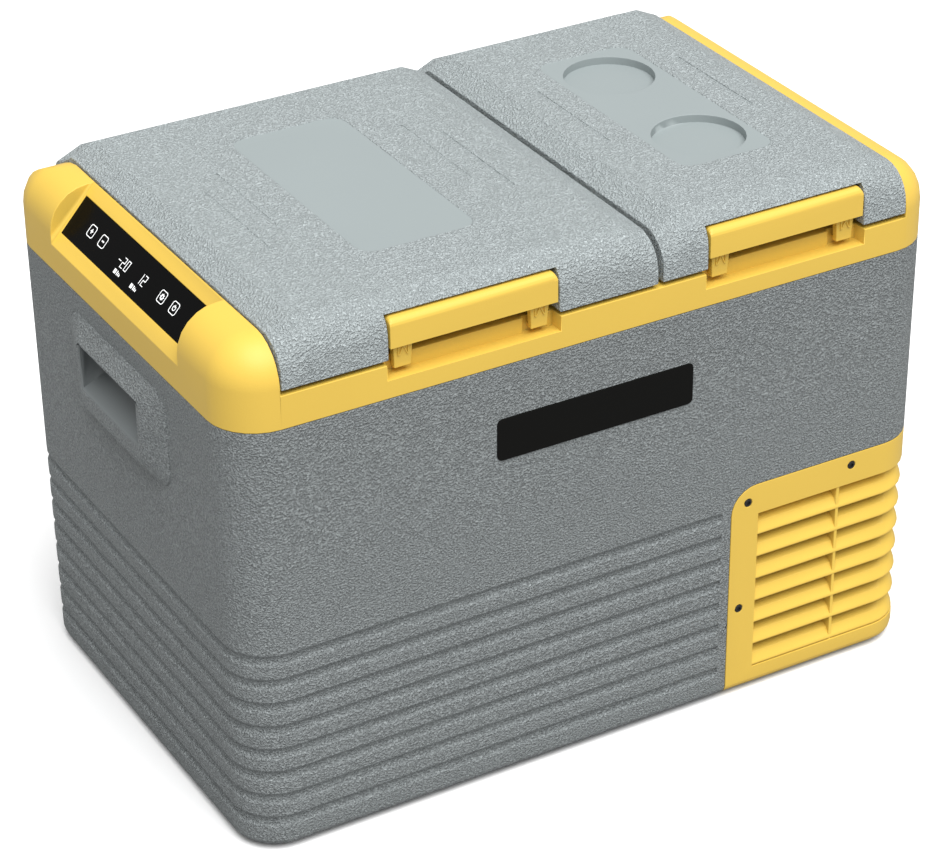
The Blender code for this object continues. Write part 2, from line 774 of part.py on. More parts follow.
def make_screw(name, x, z, side):
    """A grille screw: a sunk round head and a shank into the shell's flange."""
    surface = side * (FRONT_Y + draft_at(z))
    head = surface + side * (SCREW_SINK - SCREW_HEAD)
    seat = surface + side * SCREW_SINK
    tip = seat + side * SCREW_LENGTH
    rings = [
        lift(disc((x, z), SCREW_HEAD_RADIUS, ROUND_SIDES), "Y", head),
        lift(disc((x, z), SCREW_HEAD_RADIUS, ROUND_SIDES), "Y", seat),
        lift(disc((x, z), SCREW_SHANK_RADIUS, ROUND_SIDES), "Y", seat),
        lift(disc((x, z), SCREW_SHANK_RADIUS, ROUND_SIDES), "Y", tip),
    ]
    return solid(name, loft(rings), DARK_STEEL)


def inlet_block(length, height, gap, y_span):
    """A block of the power inlet on the back of the vent boot."""
    x_span = grow(centred(END_X - INLET_IN, length), gap)
    z_span = grow(centred(INLET_RISE, height), gap)
    return box((x_span[0], y_span[0], z_span[0]), (x_span[1], y_span[1], z_span[1]))


def inlet_surface():
    """The boot's back surface at the inlet's height."""
    return BACK_Y - draft_at(INLET_RISE)


def inlet_flange(gap):
    """The inlet's flange, let into the boot's back."""
    surface = inlet_surface()
    outer = surface + VENT_WALL if gap else surface - GAP
    length = INLET_LENGTH + 2 * INLET_FLANGE
    height = INLET_HEIGHT + 2 * INLET_FLANGE
    return inlet_block(length, height, gap, (surface - INLET_FLANGE_SINK - gap, outer))


def inlet_body(gap):
    """The inlet's body, through the boot into the bay."""
    surface = inlet_surface()
    outer = surface + VENT_WALL if gap else surface - INLET_FLANGE_SINK / 2
    return inlet_block(INLET_LENGTH, INLET_HEIGHT, gap, (surface - INLET_DEPTH, outer))


def make_inlet():
    """The power inlet with an open socket and its two contact pins."""
    inlet = solid("power_inlet", inlet_flange(0.0), BLACK_PLASTIC)
    combine(inlet, inlet_body(0.0), "UNION")
    surface = inlet_surface()
    floor = surface - INLET_SOCKET_DEPTH
    combine(inlet, inlet_block(INLET_SOCKET_LENGTH, INLET_SOCKET_HEIGHT, 0.0, (floor, BACK_Y + VENT_WALL)))
    pieces = [inlet]
    root = floor - (INLET_DEPTH - INLET_SOCKET_DEPTH) / 2
    for name, offset in (("left", CONTACT_SPACING / 2), ("right", -CONTACT_SPACING / 2)):
        spot = (END_X - INLET_IN + offset, INLET_RISE)
        combine(inlet, rod(spot, CONTACT_RADIUS + GAP, "Y", root - GAP, BACK_Y + VENT_WALL))
        contact = rod(spot, CONTACT_RADIUS, "Y", root, floor + CONTACT_LENGTH)
        pieces.append(solid(f"inlet_contact_{name}", contact, STEEL))
    return pieces


# Top frame

def panel_frame():
    """Lower edge, up-slope direction and outward normal of the control panel, across Y."""
    angle = math.radians(PANEL_SLOPE)
    edge = Vector((-END_X + PANEL_SETBACK, LEDGE_HEIGHT + PANEL_RISE))
    up = Vector((math.cos(angle), math.sin(angle)))
    out = Vector((-math.sin(angle), math.cos(angle)))
    return edge, up, out


def panel_block(along, deep, half_length):
    """A block on the panel's slope: a span up the slope, a span along its normal, a half length."""
    edge, up, out = panel_frame()
    corners = ((along[0], deep[0]), (along[1], deep[0]), (along[1], deep[1]), (along[0], deep[1]))
    outline = [tuple(edge + up * u + out * n) for u, n in corners]
    return prism(outline, "Y", -half_length, half_length)


def frame_blank():
    """The collar and its rounded crown, as one solid up to the block tops."""
    stations = wall_stations()
    rings = [wall_ring(stations, FRAME_BASE, 0.0)]
    for t in range(0, 91, 15):
        inset = BLOCK_RADIUS * (1 - math.cos(math.radians(t)))
        z = BLOCK_TOP - BLOCK_RADIUS * (1 - math.sin(math.radians(t)))
        rings.append(wall_ring(stations, z, inset))
    return loft(rings)


def block_back(x_span):
    """The prism outside the large round that the end blocks have at the back."""
    radius = BLOCK_BACK_RADIUS
    centre = Vector((BACK_Y - radius, BLOCK_TOP - radius))
    bend = [Vector(point) for point in arc(centre, radius, 84, 6, 7)]
    start = bend[0] + BLOCK_BACK_RUNOUT * (bend[0] - bend[1]).normalized()
    end = bend[-1] + BLOCK_BACK_RUNOUT * (bend[-1] - bend[-2]).normalized()
    corner = Vector((end.x, start.y + radius))
    outline = [start] + bend + [end, corner, Vector((start.x, corner.y))]
    return prism(outline, "X", *x_span)


def latch_spans(side):
    """The latch bar's span along X and its two legs' spans, on one lid."""
    middle = sum(LID_SPANS[side]) / 2
    bar = centred(middle, LATCH_LENGTH)
    legs = (
        (bar[0] + LEG_INSET, bar[0] + LEG_INSET + LEG_WIDTH),
        (bar[1] - LEG_INSET - LEG_WIDTH, bar[1] - LEG_INSET),
    )
    return bar, legs


def hinge_places(side):
    """Middles of the two hinge lugs of a lid along X."""
    low, high = LID_SPANS[side]
    return (low + HINGE_INSET, high - HINGE_INSET)


def make_frame():
    """The yellow top frame with end blocks, latch recesses, hinge lugs and two openings."""
    frame = solid("top_frame", frame_blank(), YELLOW_PLASTIC)
    top = BLOCK_TOP + BLOCK_RADIUS
    combine(frame, box((BLOCK_LEFT_X, 2 * FRONT_Y, LEDGE_HEIGHT), (BLOCK_RIGHT_X, 2 * BACK_Y, top)))
    for x_span in ((-LENGTH, BLOCK_LEFT_X), (BLOCK_RIGHT_X, LENGTH)):
        combine(frame, block_back(x_span))
    for span in OPENING_SPANS.values():
        hole = rounded_rectangle(span, OPENING_Y, OPENING_CORNER)
        combine(frame, prism(hole, "Z", FRAME_BASE - FLOOR, LEDGE_HEIGHT + FLOOR))
        rim = RIM_WIDTH + LINER_CLEARANCE
        seat = rounded_rectangle(grow(span, rim), grow(OPENING_Y, rim), OPENING_CORNER + rim)
        combine(frame, prism(seat, "Z", LEDGE_HEIGHT - RIM_SEAT, LEDGE_HEIGHT + FLOOR))
    for side in LID_SPANS:
        bar, legs = latch_spans(side)
        recess = grow(bar, RECESS_SIDE)
        back = FRONT_Y + RECESS_DEPTH
        floor = LEDGE_HEIGHT - RECESS_DROP
        combine(frame, box((recess[0], 2 * FRONT_Y, floor), (recess[1], back, top)))
        for leg in legs:
            notch = grow(leg, TONGUE_NOTCH_SIDE)
            combine(frame, box((notch[0], FRONT_Y, floor + GAP), (notch[1], back + TONGUE_NOTCH, top)))
        for x in hinge_places(side):
            combine(frame, hinge_lug(x), "UNION")
            radius = HINGE_PIN_RADIUS + RUNNING_GAP
            combine(frame, rod((HINGE_Y, HINGE_Z), radius, "X", *centred(x, 2 * HINGE_LUG_WIDTH)))
    half = PANEL_LENGTH / 2
    combine(frame, panel_block((-LENGTH, LENGTH), (-PANEL_SHOULDER / 2, LENGTH), half + PANEL_SHOULDER))
    seat_floor = -PANEL_SHOULDER / 2 - PANEL_THICKNESS
    combine(frame, panel_block((-GAP, PANEL_WIDTH + GAP), (seat_floor - GAP, PANEL_WIDTH), half + GAP))
    board = (BOARD_MARGIN - GAP, PANEL_WIDTH - BOARD_MARGIN + GAP)
    combine(frame, panel_block(board, (seat_floor - BOARD_POCKET, PANEL_WIDTH), half - BOARD_MARGIN + GAP))
    for x_span in block_hollows():
        hollow = rounded_rectangle(x_span, (-FLAT_END, FLAT_END), BLOCK_WALL)
        combine(frame, prism(hollow, "Z", FRAME_BASE - FLOOR, FRAME_BASE + BLOCK_HOLLOW))
    return frame


def block_hollows():
    """Spans of the hollows moulded up into the end blocks from below."""
    left = (-END_X + BLOCK_WALL, OPENING_SPANS["large"][0] - RIM_WIDTH - 2 * BLOCK_WALL)
    right = (OPENING_SPANS["small"][1] + RIM_WIDTH + 2 * BLOCK_WALL, END_X - BLOCK_WALL)
    return left, right


def hinge_lug(x):
    """An upright lug on the back ledge, round about the hinge axis."""
    crown = arc((HINGE_Y, HINGE_Z), HINGE_LUG_RADIUS, 0, 180, 10)
    base = LEDGE_HEIGHT - FLOOR
    outline = [(HINGE_Y + HINGE_LUG_RADIUS, base)] + crown + [(HINGE_Y - HINGE_LUG_RADIUS, base)]
    return prism(outline, "X", x - HINGE_LUG_WIDTH / 2, x + HINGE_LUG_WIDTH / 2)


def make_control_panel():
    """The touch glass and the display board behind it."""
    half = PANEL_LENGTH / 2
    top = -PANEL_SHOULDER / 2
    glass = panel_block((0.0, PANEL_WIDTH), (top - PANEL_THICKNESS, top), half)
    below = top - PANEL_THICKNESS - GAP
    span = (BOARD_MARGIN, PANEL_WIDTH - BOARD_MARGIN)
    board = panel_block(span, (below - BOARD_THICKNESS, below), half - BOARD_MARGIN)
    return solid("control_glass", glass, BLACK_GLASS), solid("control_board", board, GREEN_BOARD)


# Lids

def lid_profile(drop):
    """The lid's section across X, with its top lowered by a drop and a slope along its back."""
    top = LID_TOP - drop
    radius = LID_FRONT_RADIUS
    steps = 6
    front = arc((FRONT_Y + radius, top - radius), radius, 180, 90, steps)
    crest = top - LID_BACK_DROP
    back_centre = (BACK_Y - LID_BACK_RADIUS, crest - LID_BACK_RADIUS)
    back = [(BACK_Y - LID_BACK_WALL, top)] + arc(back_centre, LID_BACK_RADIUS, 90, 0, steps)
    heel_centre = (BACK_Y - LID_HEEL_RADIUS, LID_BOTTOM + LID_HEEL_RADIUS)
    heel = arc(heel_centre, LID_HEEL_RADIUS, 0, -90, 3)
    return [(FRONT_Y, LID_BOTTOM)] + front + back + heel


def lid_blank(span):
    """The lid as a solid: a rounded section lofted along X, falling away at both sides."""
    low, high = span
    fall = LID_BEVEL_DROP
    stations = ((low, fall), (low + LID_BEVEL, 0.0), (high - LID_BEVEL, 0.0), (high, fall))
    return loft([lift(lid_profile(drop), "X", x) for x, drop in stations])


def lid_cavity(span, gap):
    """Spans of the hollow inside a lid, drawn in by a gap."""
    x_span = grow(span, -LID_WALL - gap)
    y_span = (FRONT_Y + LID_FRONT_WALL + gap, BACK_Y - LID_BACK_WALL - gap)
    return x_span, y_span


def lid_stripes(side):
    """Shallow staggered grooves beside the pad, as X middles and Y middles."""
    middle = sum(LID_SPANS[side]) / 2
    half = PAD_WIDTHS[side] / 2
    room = (LID_SPANS[side][1] - LID_SPANS[side][0]) / 2 - LID_BEVEL - half
    count = max(1, int((room - STRIPE_STEP / 2) / STRIPE_STEP) - 1)
    places = []
    for direction in (-1, 1):
        for i in range(count):
            x = middle + direction * (half + room / 2 + STRIPE_STEP * (i - (count - 1) / 2))
            places.append((x, STRIPE_STAGGER * (0.5 - i) - PAD_FORWARD))
    return places


def make_lid_cover(side):
    """The grey moulded lid with its latch notch, hinge notches, pad and grooves."""
    span = LID_SPANS[side]
    middle = sum(span) / 2
    cover = solid(f"lid_{side}_cover", lid_blank(span), GREY_PLASTIC)
    x_span, y_span = lid_cavity(span, 0.0)
    combine(cover, box((x_span[0], y_span[0], LID_BOTTOM - FLOOR), (x_span[1], y_span[1], LID_CAVITY_TOP)))
    bar, _ = latch_spans(side)
    notch = grow(bar, LATCH_SIDE_GAP)
    ceiling = LATCH_TOP + LATCH_TOP_GAP
    behind = FRONT_Y + LATCH_NOTCH_DEPTH
    combine(cover, box((notch[0], 2 * FRONT_Y, LID_BOTTOM - FLOOR), (notch[1], behind, ceiling)))
    pin = grow(notch, LATCH_PIN_SEAT + GAP)
    combine(cover, rod((LATCH_PIVOT_Y, LATCH_PIVOT_Z), LATCH_PIN_RADIUS + GAP, "X", *pin))
    clear = HINGE_LUG_RADIUS + HINGE_NOTCH_GAP
    for x in hinge_places(side):
        half = HINGE_LUG_WIDTH / 2 + HINGE_NOTCH_GAP
        low = (x - half, HINGE_Y - clear, LID_BOTTOM - FLOOR)
        combine(cover, box(low, (x + half, 2 * BACK_Y, HINGE_Z + clear)))
        half = HINGE_PIN_LENGTH / 2 + GAP
        combine(cover, rod((HINGE_Y, HINGE_Z), HINGE_PIN_RADIUS + RUNNING_GAP, "X", x - half, x + half))
    pad_x = centred(middle, PAD_WIDTHS[side])
    pad = rounded_rectangle(pad_x, centred(-PAD_FORWARD, PAD_LENGTH), PAD_CORNER)
    above = LID_TOP + LID_BEVEL_DROP
    combine(cover, prism(pad, "Z", LID_TOP - PAD_SINK, above))
    if side == "right":
        for y in centred(-PAD_FORWARD, CUP_SPACING):
            floor = LID_TOP - PAD_SINK - CUP_DEPTH
            combine(cover, rod((middle, y), CUP_DIAMETER / 2, "Z", floor, above, CUP_SIDES))
    for x, y in lid_stripes(side):
        x_groove = centred(x, STRIPE_WIDTH)
        y_groove = centred(y, STRIPE_LENGTH)
        low = (x_groove[0], y_groove[0], LID_TOP - STRIPE_SINK)
        combine(cover, box(low, (x_groove[1], y_groove[1], above)))
    return cover


def make_lid_inside(side):
    """The lid's inner tray with its plug, the foam core above it and the gasket."""
    x_span, y_span = lid_cavity(LID_SPANS[side], GAP)
    opening = OPENING_SPANS[COMPARTMENT_OF_LID[side]]
    plug_inset = LINER_CLEARANCE + LINER_WALL + PLUG_CLEARANCE
    plug = grow(opening, -plug_inset), grow(OPENING_Y, -plug_inset)
    bottom = LID_BOTTOM + GAP
    top = bottom + TRAY_THICKNESS
    plug_outline = rounded_rectangle(*plug, OPENING_CORNER - plug_inset)
    plate_outline = rounded_rectangle(x_span, y_span, LID_WALL)
    tray = loft([
        lift(plug_outline, "Z", bottom - PLUG_DEPTH),
        lift(plug_outline, "Z", bottom),
        lift(plate_outline, "Z", bottom),
        lift(plate_outline, "Z", top),
    ])
    core = prism(plate_outline, "Z", top + GAP, LID_CAVITY_TOP - GAP)
    inner = grow(plug[0], GASKET_CLEARANCE), grow(plug[1], GASKET_CLEARANCE)
    outer = grow(inner[0], GASKET_WIDTH), grow(inner[1], GASKET_WIDTH)
    corner = OPENING_CORNER - plug_inset + GASKET_CLEARANCE
    gasket_low = LEDGE_HEIGHT + GAP
    gasket_high = bottom - GAP
    gasket = solid(
        f"lid_{side}_gasket",
        prism(rounded_rectangle(*outer, corner + GASKET_WIDTH), "Z", gasket_low, gasket_high),
        GREY_SEAL,
    )
    combine(gasket, prism(rounded_rectangle(*inner, corner), "Z", gasket_low - FLOOR, gasket_high + FLOOR))
    tray_piece = solid(f"lid_{side}_tray", tray, WHITE_PLASTIC)
    return tray_piece, solid(f"lid_{side}_foam", core, CREAM_FOAM), gasket


def make_hinge_pins(side):
    """The two steel pins of a lid's hinges."""
    pins = []
    for name, x in zip(("a", "b"), hinge_places(side)):
        half = HINGE_PIN_LENGTH / 2
        pin = rod((HINGE_Y, HINGE_Z), HINGE_PIN_RADIUS, "X", x - half, x + half)
        pins.append(solid(f"hinge_pin_{side}_{name}", pin, STEEL))
    return pins


# Latches

def latch_leg(span):
    """A tapered leg below the bar, with a tongue at its foot."""
    middle = sum(span) / 2
    front = FRONT_Y + LEG_IN
    back = front + LEG_THICKNESS
    foot = LATCH_BASE - LEG_DROP
    head = LATCH_BASE + LATCH_ROUND
    rings = []
    levels = [(z, LEG_FOOT_WIDTH, LEG_RIB) for z in (foot, foot + TONGUE_HEIGHT)]
    for z, width, lean in levels + [(head, LEG_WIDTH, 0.0)]:
        x0, x1 = centred(middle, width)
        rings.append([(x0, front + lean, z), (x1, front + lean, z), (x1, back, z), (x0, back, z)])
    return loft([[Vector(point) for point in ring] for ring in rings])


def latch_tongue(span):
    """The tongue that stands in the frame's notch behind a leg."""
    x0, x1 = centred(sum(span) / 2, LEG_FOOT_WIDTH - 2 * LEG_RIB)
    back = FRONT_Y + LEG_IN + LEG_THICKNESS
    foot = LATCH_BASE - LEG_DROP + GAP
    outline = [
        (back - LEG_THICKNESS / 2, foot),
        (back + TONGUE_REACH, foot),
        (back + TONGUE_REACH, foot + TONGUE_HEIGHT / 2),
        (back - LEG_THICKNESS / 2, foot + TONGUE_HEIGHT),
    ]
    return prism(outline, "X", x0, x1)


def make_latch(side):
    """The pull bar with two legs, and the steel pin that it turns on."""
    bar, legs = latch_spans(side)
    back = FRONT_Y + LATCH_THICKNESS
    crown = arc((FRONT_Y + LATCH_ROUND, LATCH_TOP - LATCH_ROUND), LATCH_ROUND, 180, 90, 4)
    chamfer = LATCH_ROUND / 3
    rear = [(back - chamfer, LATCH_TOP), (back, LATCH_TOP - chamfer), (back, LATCH_BASE)]
    section = [(FRONT_Y, LATCH_BASE)] + crown + rear
    latch = solid(f"latch_{side}", prism(section, "X", *bar), YELLOW_PLASTIC)
    for leg in legs:
        combine(latch, latch_leg(leg), "UNION")
        combine(latch, latch_tongue(leg), "UNION")
    pivot = (LATCH_PIVOT_Y, LATCH_PIVOT_Z)
    combine(latch, rod(pivot, LATCH_PIN_RADIUS + RUNNING_GAP, "X", *grow(bar, FLOOR)))
    seat = grow(bar, LATCH_SIDE_GAP + LATCH_PIN_SEAT)
    pin = solid(f"latch_pin_{side}", rod(pivot, LATCH_PIN_RADIUS, "X", *seat), STEEL)
    return latch, pin


# Compartments and insulation

def liner_ring(span, z, floor, inset):
    """A level ring of a tub's outer wall, set in by an inset."""
    lean = LINER_DRAFT * (LEDGE_HEIGHT - z) / (LEDGE_HEIGHT - floor)
    shrink = LINER_CLEARANCE + lean + inset
    outline = rounded_rectangle(grow(span, -shrink), grow(OPENING_Y, -shrink), OPENING_CORNER - shrink)
    return lift(outline, "Z", z)


def make_liner(name, span, floor):
    """A moulded tub with a flat rim that sits in the frame."""
    rim_low = LEDGE_HEIGHT - RIM_SEAT + GAP
    rim_high = rim_low + RIM_THICKNESS
    rim = -RIM_WIDTH
    rings = [
        liner_ring(span, floor, floor, 0.0),
        liner_ring(span, rim_low, floor, 0.0),
        liner_ring(span, rim_low, floor, rim),
        liner_ring(span, rim_high, floor, rim),
        liner_ring(span, rim_high, floor, LINER_WALL),
        liner_ring(span, floor + LINER_WALL, floor, LINER_WALL),
    ]
    return solid(name, loft(rings), WHITE_PLASTIC)


def make_evaporator():
    """The thin cooling jacket round the large tub."""
    span = OPENING_SPANS["large"]
    levels = (EVAPORATOR_LOW, EVAPORATOR_HIGH)
    outer = [liner_ring(span, z, LARGE_FLOOR, -GAP - EVAPORATOR_THICKNESS) for z in levels]
    inner = [liner_ring(span, z, LARGE_FLOOR, -GAP) for z in (levels[0] - FLOOR, levels[1] + FLOOR)]
    jacket = solid("evaporator", loft(outer), ALUMINIUM)
    return combine(jacket, loft(inner))


def inside_block(z_span, gap):
    """The space inside the shell's walls between two heights, drawn in by a gap."""
    stations = wall_stations()
    return loft([wall_ring(stations, z, WALL + gap + draft_at(z)) for z in z_span])


def bay_profile(gap):
    """The L-shaped sheet between the insulation and the machine bay, widened by a gap."""
    low = FLOOR_TOP + GAP - gap
    far = END_X
    return [
        (BAY_X - gap, low),
        (BAY_X + PARTITION + gap, low),
        (BAY_X + PARTITION + gap, BAY_HEIGHT - gap),
        (far, BAY_HEIGHT - gap),
        (far, BAY_HEIGHT + PARTITION + gap),
        (BAY_X - gap, BAY_HEIGHT + PARTITION + gap),
    ]


def make_partition():
    """The bay partition, cut to the inside of the shell."""
    partition = solid("bay_partition", prism(bay_profile(0.0), "Y", FRONT_Y, BACK_Y), ALUMINIUM)
    return combine(partition, inside_block((0.0, SEAM_HEIGHT), GAP), "INTERSECT")


def make_foam():
    """The insulation between the shell, the tubs and the bay."""
    foam = solid("foam_insulation", inside_block((FLOOR_TOP + GAP, SEAM_HEIGHT - GAP), GAP), CREAM_FOAM)
    tubs = (("large", LARGE_FLOOR), ("small", SMALL_FLOOR))
    for name, floor in tubs:
        span = OPENING_SPANS[name]
        rings = [liner_ring(span, z, floor, -FOAM_SKIN) for z in (floor, LEDGE_HEIGHT)]
        for point in rings[0]:
            point.z -= GAP
        combine(foam, loft(rings))
    high = BAY_HEIGHT + PARTITION + GAP
    combine(foam, box((BAY_X - GAP, 2 * FRONT_Y, -FLOOR), (2 * END_X, 2 * BACK_Y, high)))
    margin = SHELL_WALL + GAP
    for side in (-1, 1):
        inner = side * (END_X + HANDLE_PROUD - POCKET_DEPTH - margin)
        x_span = sorted((inner, side * 2 * END_X))
        low = (x_span[0], -POCKET_HALF - margin, POCKET_BOTTOM - margin)
        combine(foam, box(low, (x_span[1], POCKET_HALF + margin, POCKET_TOP + margin + SHELL_WALL)))
    return foam


# Machine bay

def compressor_place():
    """Middle of the compressor on the base plate."""
    return END_X - COMPRESSOR_IN, -COMPRESSOR_FORWARD


def grommet_places():
    """Middles of the four grommets under the compressor's flange."""
    x, y = compressor_place()
    half = GROMMET_SPACING / 2
    return [(x + i * half, y + j * half) for i in (-1, 1) for j in (-1, 1)]


def make_compressor():
    """The domed compressor can on its square flange, and its four rubber grommets."""
    x, y = compressor_place()
    base = BAY_FLOOR + GAP + GROMMET_HEIGHT + GAP
    radius = COMPRESSOR_RADIUS
    dome = radius * 0.45
    flange_top = base + COMPRESSOR_FLANGE
    shoulder = base + COMPRESSOR_HEIGHT - dome
    half = COMPRESSOR_FLANGE_HALF
    plate = rounded_rectangle((x - half, x + half), (y - half, y + half), GROMMET_RADIUS)
    flange = prism(plate, "Z", base, flange_top)
    levels = [(radius, flange_top - COMPRESSOR_FLANGE / 2), (radius, shoulder)]
    for angle in (math.radians(t) for t in (25, 50, 72)):
        levels.append((radius * math.cos(angle), shoulder + dome * math.sin(angle)))
    can = loft([lift(disc((x, y), r, 24), "Z", z) for r, z in levels])
    compressor = solid("compressor", flange, BLACK_ENAMEL)
    combine(compressor, can, "UNION")
    pieces = [compressor]
    for i, (gx, gy) in enumerate(grommet_places()):
        low = BAY_FLOOR + GAP
        post = rod((gx, gy), GROMMET_RADIUS, "Z", low, low + GROMMET_HEIGHT)
        ring = solid(f"compressor_grommet_{i + 1}", post, DARK_RUBBER)
        combine(ring, rod((gx, gy), GROMMET_BORE, "Z", low - FLOOR, low + GROMMET_HEIGHT + FLOOR))
        pieces.append(ring)
    return pieces


def make_base_plate():
    """The steel plate on the shell floor that carries the cooling unit."""
    low = FLOOR_TOP + GAP
    x_span = (BAY_X + PARTITION + 2 * GAP, END_X - BASE_PLATE_MARGIN)
    y_span = (FRONT_Y + BASE_PLATE_MARGIN, BACK_Y - BASE_PLATE_MARGIN)
    outline = rounded_rectangle(x_span, y_span, GROMMET_RADIUS)
    return solid("base_plate", prism(outline, "Z", low, low + BASE_PLATE), STEEL)


def fan_centre():
    """Middle of the fan on its axis, at the frame's outer face."""
    return Vector((END_X - FAN_IN, FAN_Y, BAY_FLOOR + GAP + FAN_RISE + FAN_SIZE / 2))


def make_fan_frame():
    """The square fan frame with feet on the base plate and struts that carry the motor."""
    centre = fan_centre()
    half = FAN_SIZE / 2
    y_span = (centre.y - half, centre.y + half)
    z_span = (centre.z - half, centre.z + half)
    x0 = centre.x - FAN_DEPTH
    blank = prism(rounded_rectangle(y_span, z_span, FAN_STRUT), "X", x0, centre.x)
    frame = solid("fan_frame", blank, BLACK_PLASTIC)
    combine(frame, rod((centre.y, centre.z), FAN_BORE, "X", x0 - FLOOR, centre.x + FLOOR, 32))
    hub = rod((centre.y, centre.z), FAN_HUB_RADIUS, "X", x0, x0 + FAN_STRUT_DEPTH, 20)
    combine(frame, hub, "UNION")
    reach = FAN_BORE + FAN_STRUT / 2
    strut = FAN_STRUT / 2
    for low, high in (((-reach, -strut), (reach, strut)), ((-strut, -reach), (strut, reach))):
        bar = box(
            (x0 + GAP, centre.y + low[0], centre.z + low[1]),
            (x0 + FAN_STRUT_DEPTH - GAP, centre.y + high[0], centre.z + high[1]),
        )
        combine(frame, bar, "UNION")
    for y in (y_span[0] + FAN_STRUT, y_span[1] - FAN_STRUT):
        foot = box((x0, y - strut, BAY_FLOOR + GAP), (centre.x, y + strut, z_span[0] + strut))
        combine(frame, foot, "UNION")
    shaft = FAN_SHAFT_RADIUS + RUNNING_GAP
    combine(frame, rod((centre.y, centre.z), shaft, "X", x0 - FLOOR, x0 + FAN_STRUT_DEPTH + GAP))
    return frame


def fan_blade(centre, angle):
    """One pitched blade from the hub out to the tip."""
    x0 = centre.x - FAN_DEPTH + FAN_STRUT_DEPTH + 2 * RUNNING_GAP
    chord = FAN_DEPTH - FAN_STRUT_DEPTH - 4 * RUNNING_GAP
    middle = x0 + chord / 2
    pitch = math.radians(FAN_BLADE_PITCH)
    half_x = chord / 2 * 0.8
    half_swing = half_x * math.tan(pitch)
    rings = []
    for radius in (FAN_HUB_RADIUS * 0.8, FAN_BORE - FAN_TIP_GAP):
        ring = []
        for along, across in ((-1, -1), (1, -1), (1, 1), (-1, 1)):
            swing = along * half_swing + across * FAN_BLADE_THICKNESS / 2
            y = radius * math.cos(angle) - swing * math.sin(angle)
            z = radius * math.sin(angle) + swing * math.cos(angle)
            scale = radius / math.hypot(y, z)
            ring.append(Vector((middle + along * half_x, centre.y + y * scale, centre.z + z * scale)))
        rings.append(ring)
    return loft(rings)


def make_fan_rotor():
    """The fan's hub, shaft and blades."""
    centre = fan_centre()
    hub = (centre.y, centre.z)
    x0 = centre.x - FAN_DEPTH
    back = x0 + FAN_STRUT_DEPTH + RUNNING_GAP
    rotor = solid("fan_rotor", rod(hub, FAN_HUB_RADIUS, "X", back, centre.x - GAP, 20), BLACK_PLASTIC)
    combine(rotor, rod(hub, FAN_SHAFT_RADIUS, "X", x0 + GAP, back + FAN_STRUT_DEPTH), "UNION")
    for i in range(FAN_BLADES):
        combine(rotor, fan_blade(centre, 2 * math.pi * i / FAN_BLADES), "UNION")
    return rotor


def make_condenser():
    """The finned condenser between the fan and the bay."""
    centre = fan_centre()
    half = FAN_SIZE / 2
    x1 = centre.x - FAN_DEPTH - GAP
    x0 = x1 - CONDENSER_DEPTH
    low = BAY_FLOOR + GAP
    high = centre.z + half
    y_span = (centre.y - half, centre.y + half)
    core = (x0 + CONDENSER_DEPTH / 3, x1 - CONDENSER_DEPTH / 3)
    condenser = solid("condenser", box((core[0], y_span[0], low), (core[1], y_span[1], high)), ALUMINIUM)
    pitch = (FAN_SIZE - CONDENSER_FIN) / (CONDENSER_FINS - 1)
    for i in range(CONDENSER_FINS):
        y = y_span[0] + i * pitch - (GAP if i == 0 else 0.0)
        wide = CONDENSER_FIN + (GAP if i in (0, CONDENSER_FINS - 1) else 0.0)
        combine(condenser, box((x0, y, low + GAP), (x1, y + wide, high - GAP)), "UNION")
    return condenser


def make_driver_board():
    """The compressor's driver in its case on the partition."""
    x0 = BAY_X + PARTITION + GAP
    low = BAY_FLOOR + GAP + DRIVER_RISE
    y_span = centred(FAN_Y, DRIVER_LENGTH)
    outline = rounded_rectangle(y_span, (low, low + DRIVER_HEIGHT), FAN_STRUT)
    return solid("driver_box", prism(outline, "X", x0, x0 + DRIVER_DEPTH), BLACK_PLASTIC)


# Feet

def foot_places():
    """Middles of the four feet."""
    x = END_X - FOOT_INSET_X
    y = BACK_Y - FOOT_INSET_Y
    return [(i * x, j * y) for i in (-1, 1) for j in (-1, 1)]


def make_feet():
    """Four rubber feet, each with a spigot in the shell floor."""
    feet = []
    for i, spot in enumerate(foot_places()):
        levels = (
            (FOOT_RADIUS * 0.9, 0.0),
            (FOOT_RADIUS, FOOT_HEIGHT / 3),
            (FOOT_RADIUS, FOOT_HEIGHT - GAP),
            (FOOT_SPIGOT_RADIUS, FOOT_HEIGHT - GAP),
            (FOOT_SPIGOT_RADIUS, FOOT_HEIGHT + FOOT_SPIGOT),
        )
        foot = loft([lift(disc(spot, radius, ROUND_SIDES), "Z", z) for radius, z in levels])
        feet.append(solid(f"foot_{i + 1}", foot, DARK_RUBBER))
    return feet


def main():
    """Builds every piece and parents the moving ones to their joint axes."""
    clear_scene()
    make_shell()
    make_badge()
    make_grille()
    for name, (x, z, side) in screw_places():
        make_screw(name, x, z, side)
    make_inlet()
    make_frame()
    make_control_panel()
    make_liner("liner_large", OPENING_SPANS["large"], LARGE_FLOOR)
    make_liner("liner_small", OPENING_SPANS["small"], SMALL_FLOOR)
    make_evaporator()
    make_partition()
    make_foam()
    make_base_plate()
    make_compressor()
    make_fan_frame()
    make_condenser()
    make_driver_board()
    make_feet()
    for side, span in LID_SPANS.items():
        cover = make_lid_cover(side)
        latch, latch_pin = make_latch(side)
        make_hinge_pins(side)
        middle = sum(span) / 2
        carry(f"lid_{side}_axis", (middle, HINGE_Y, HINGE_Z), [cover, latch_pin, *make_lid_inside(side)])
        carry(f"latch_{side}_axis", (middle, LATCH_PIVOT_Y, LATCH_PIVOT_Z), [latch])
    carry("fan_axis", fan_centre(), [make_fan_rotor()])
    for obj in bpy.data.objects:
        if obj.type == "MESH":
            finish_shading(obj)


main()
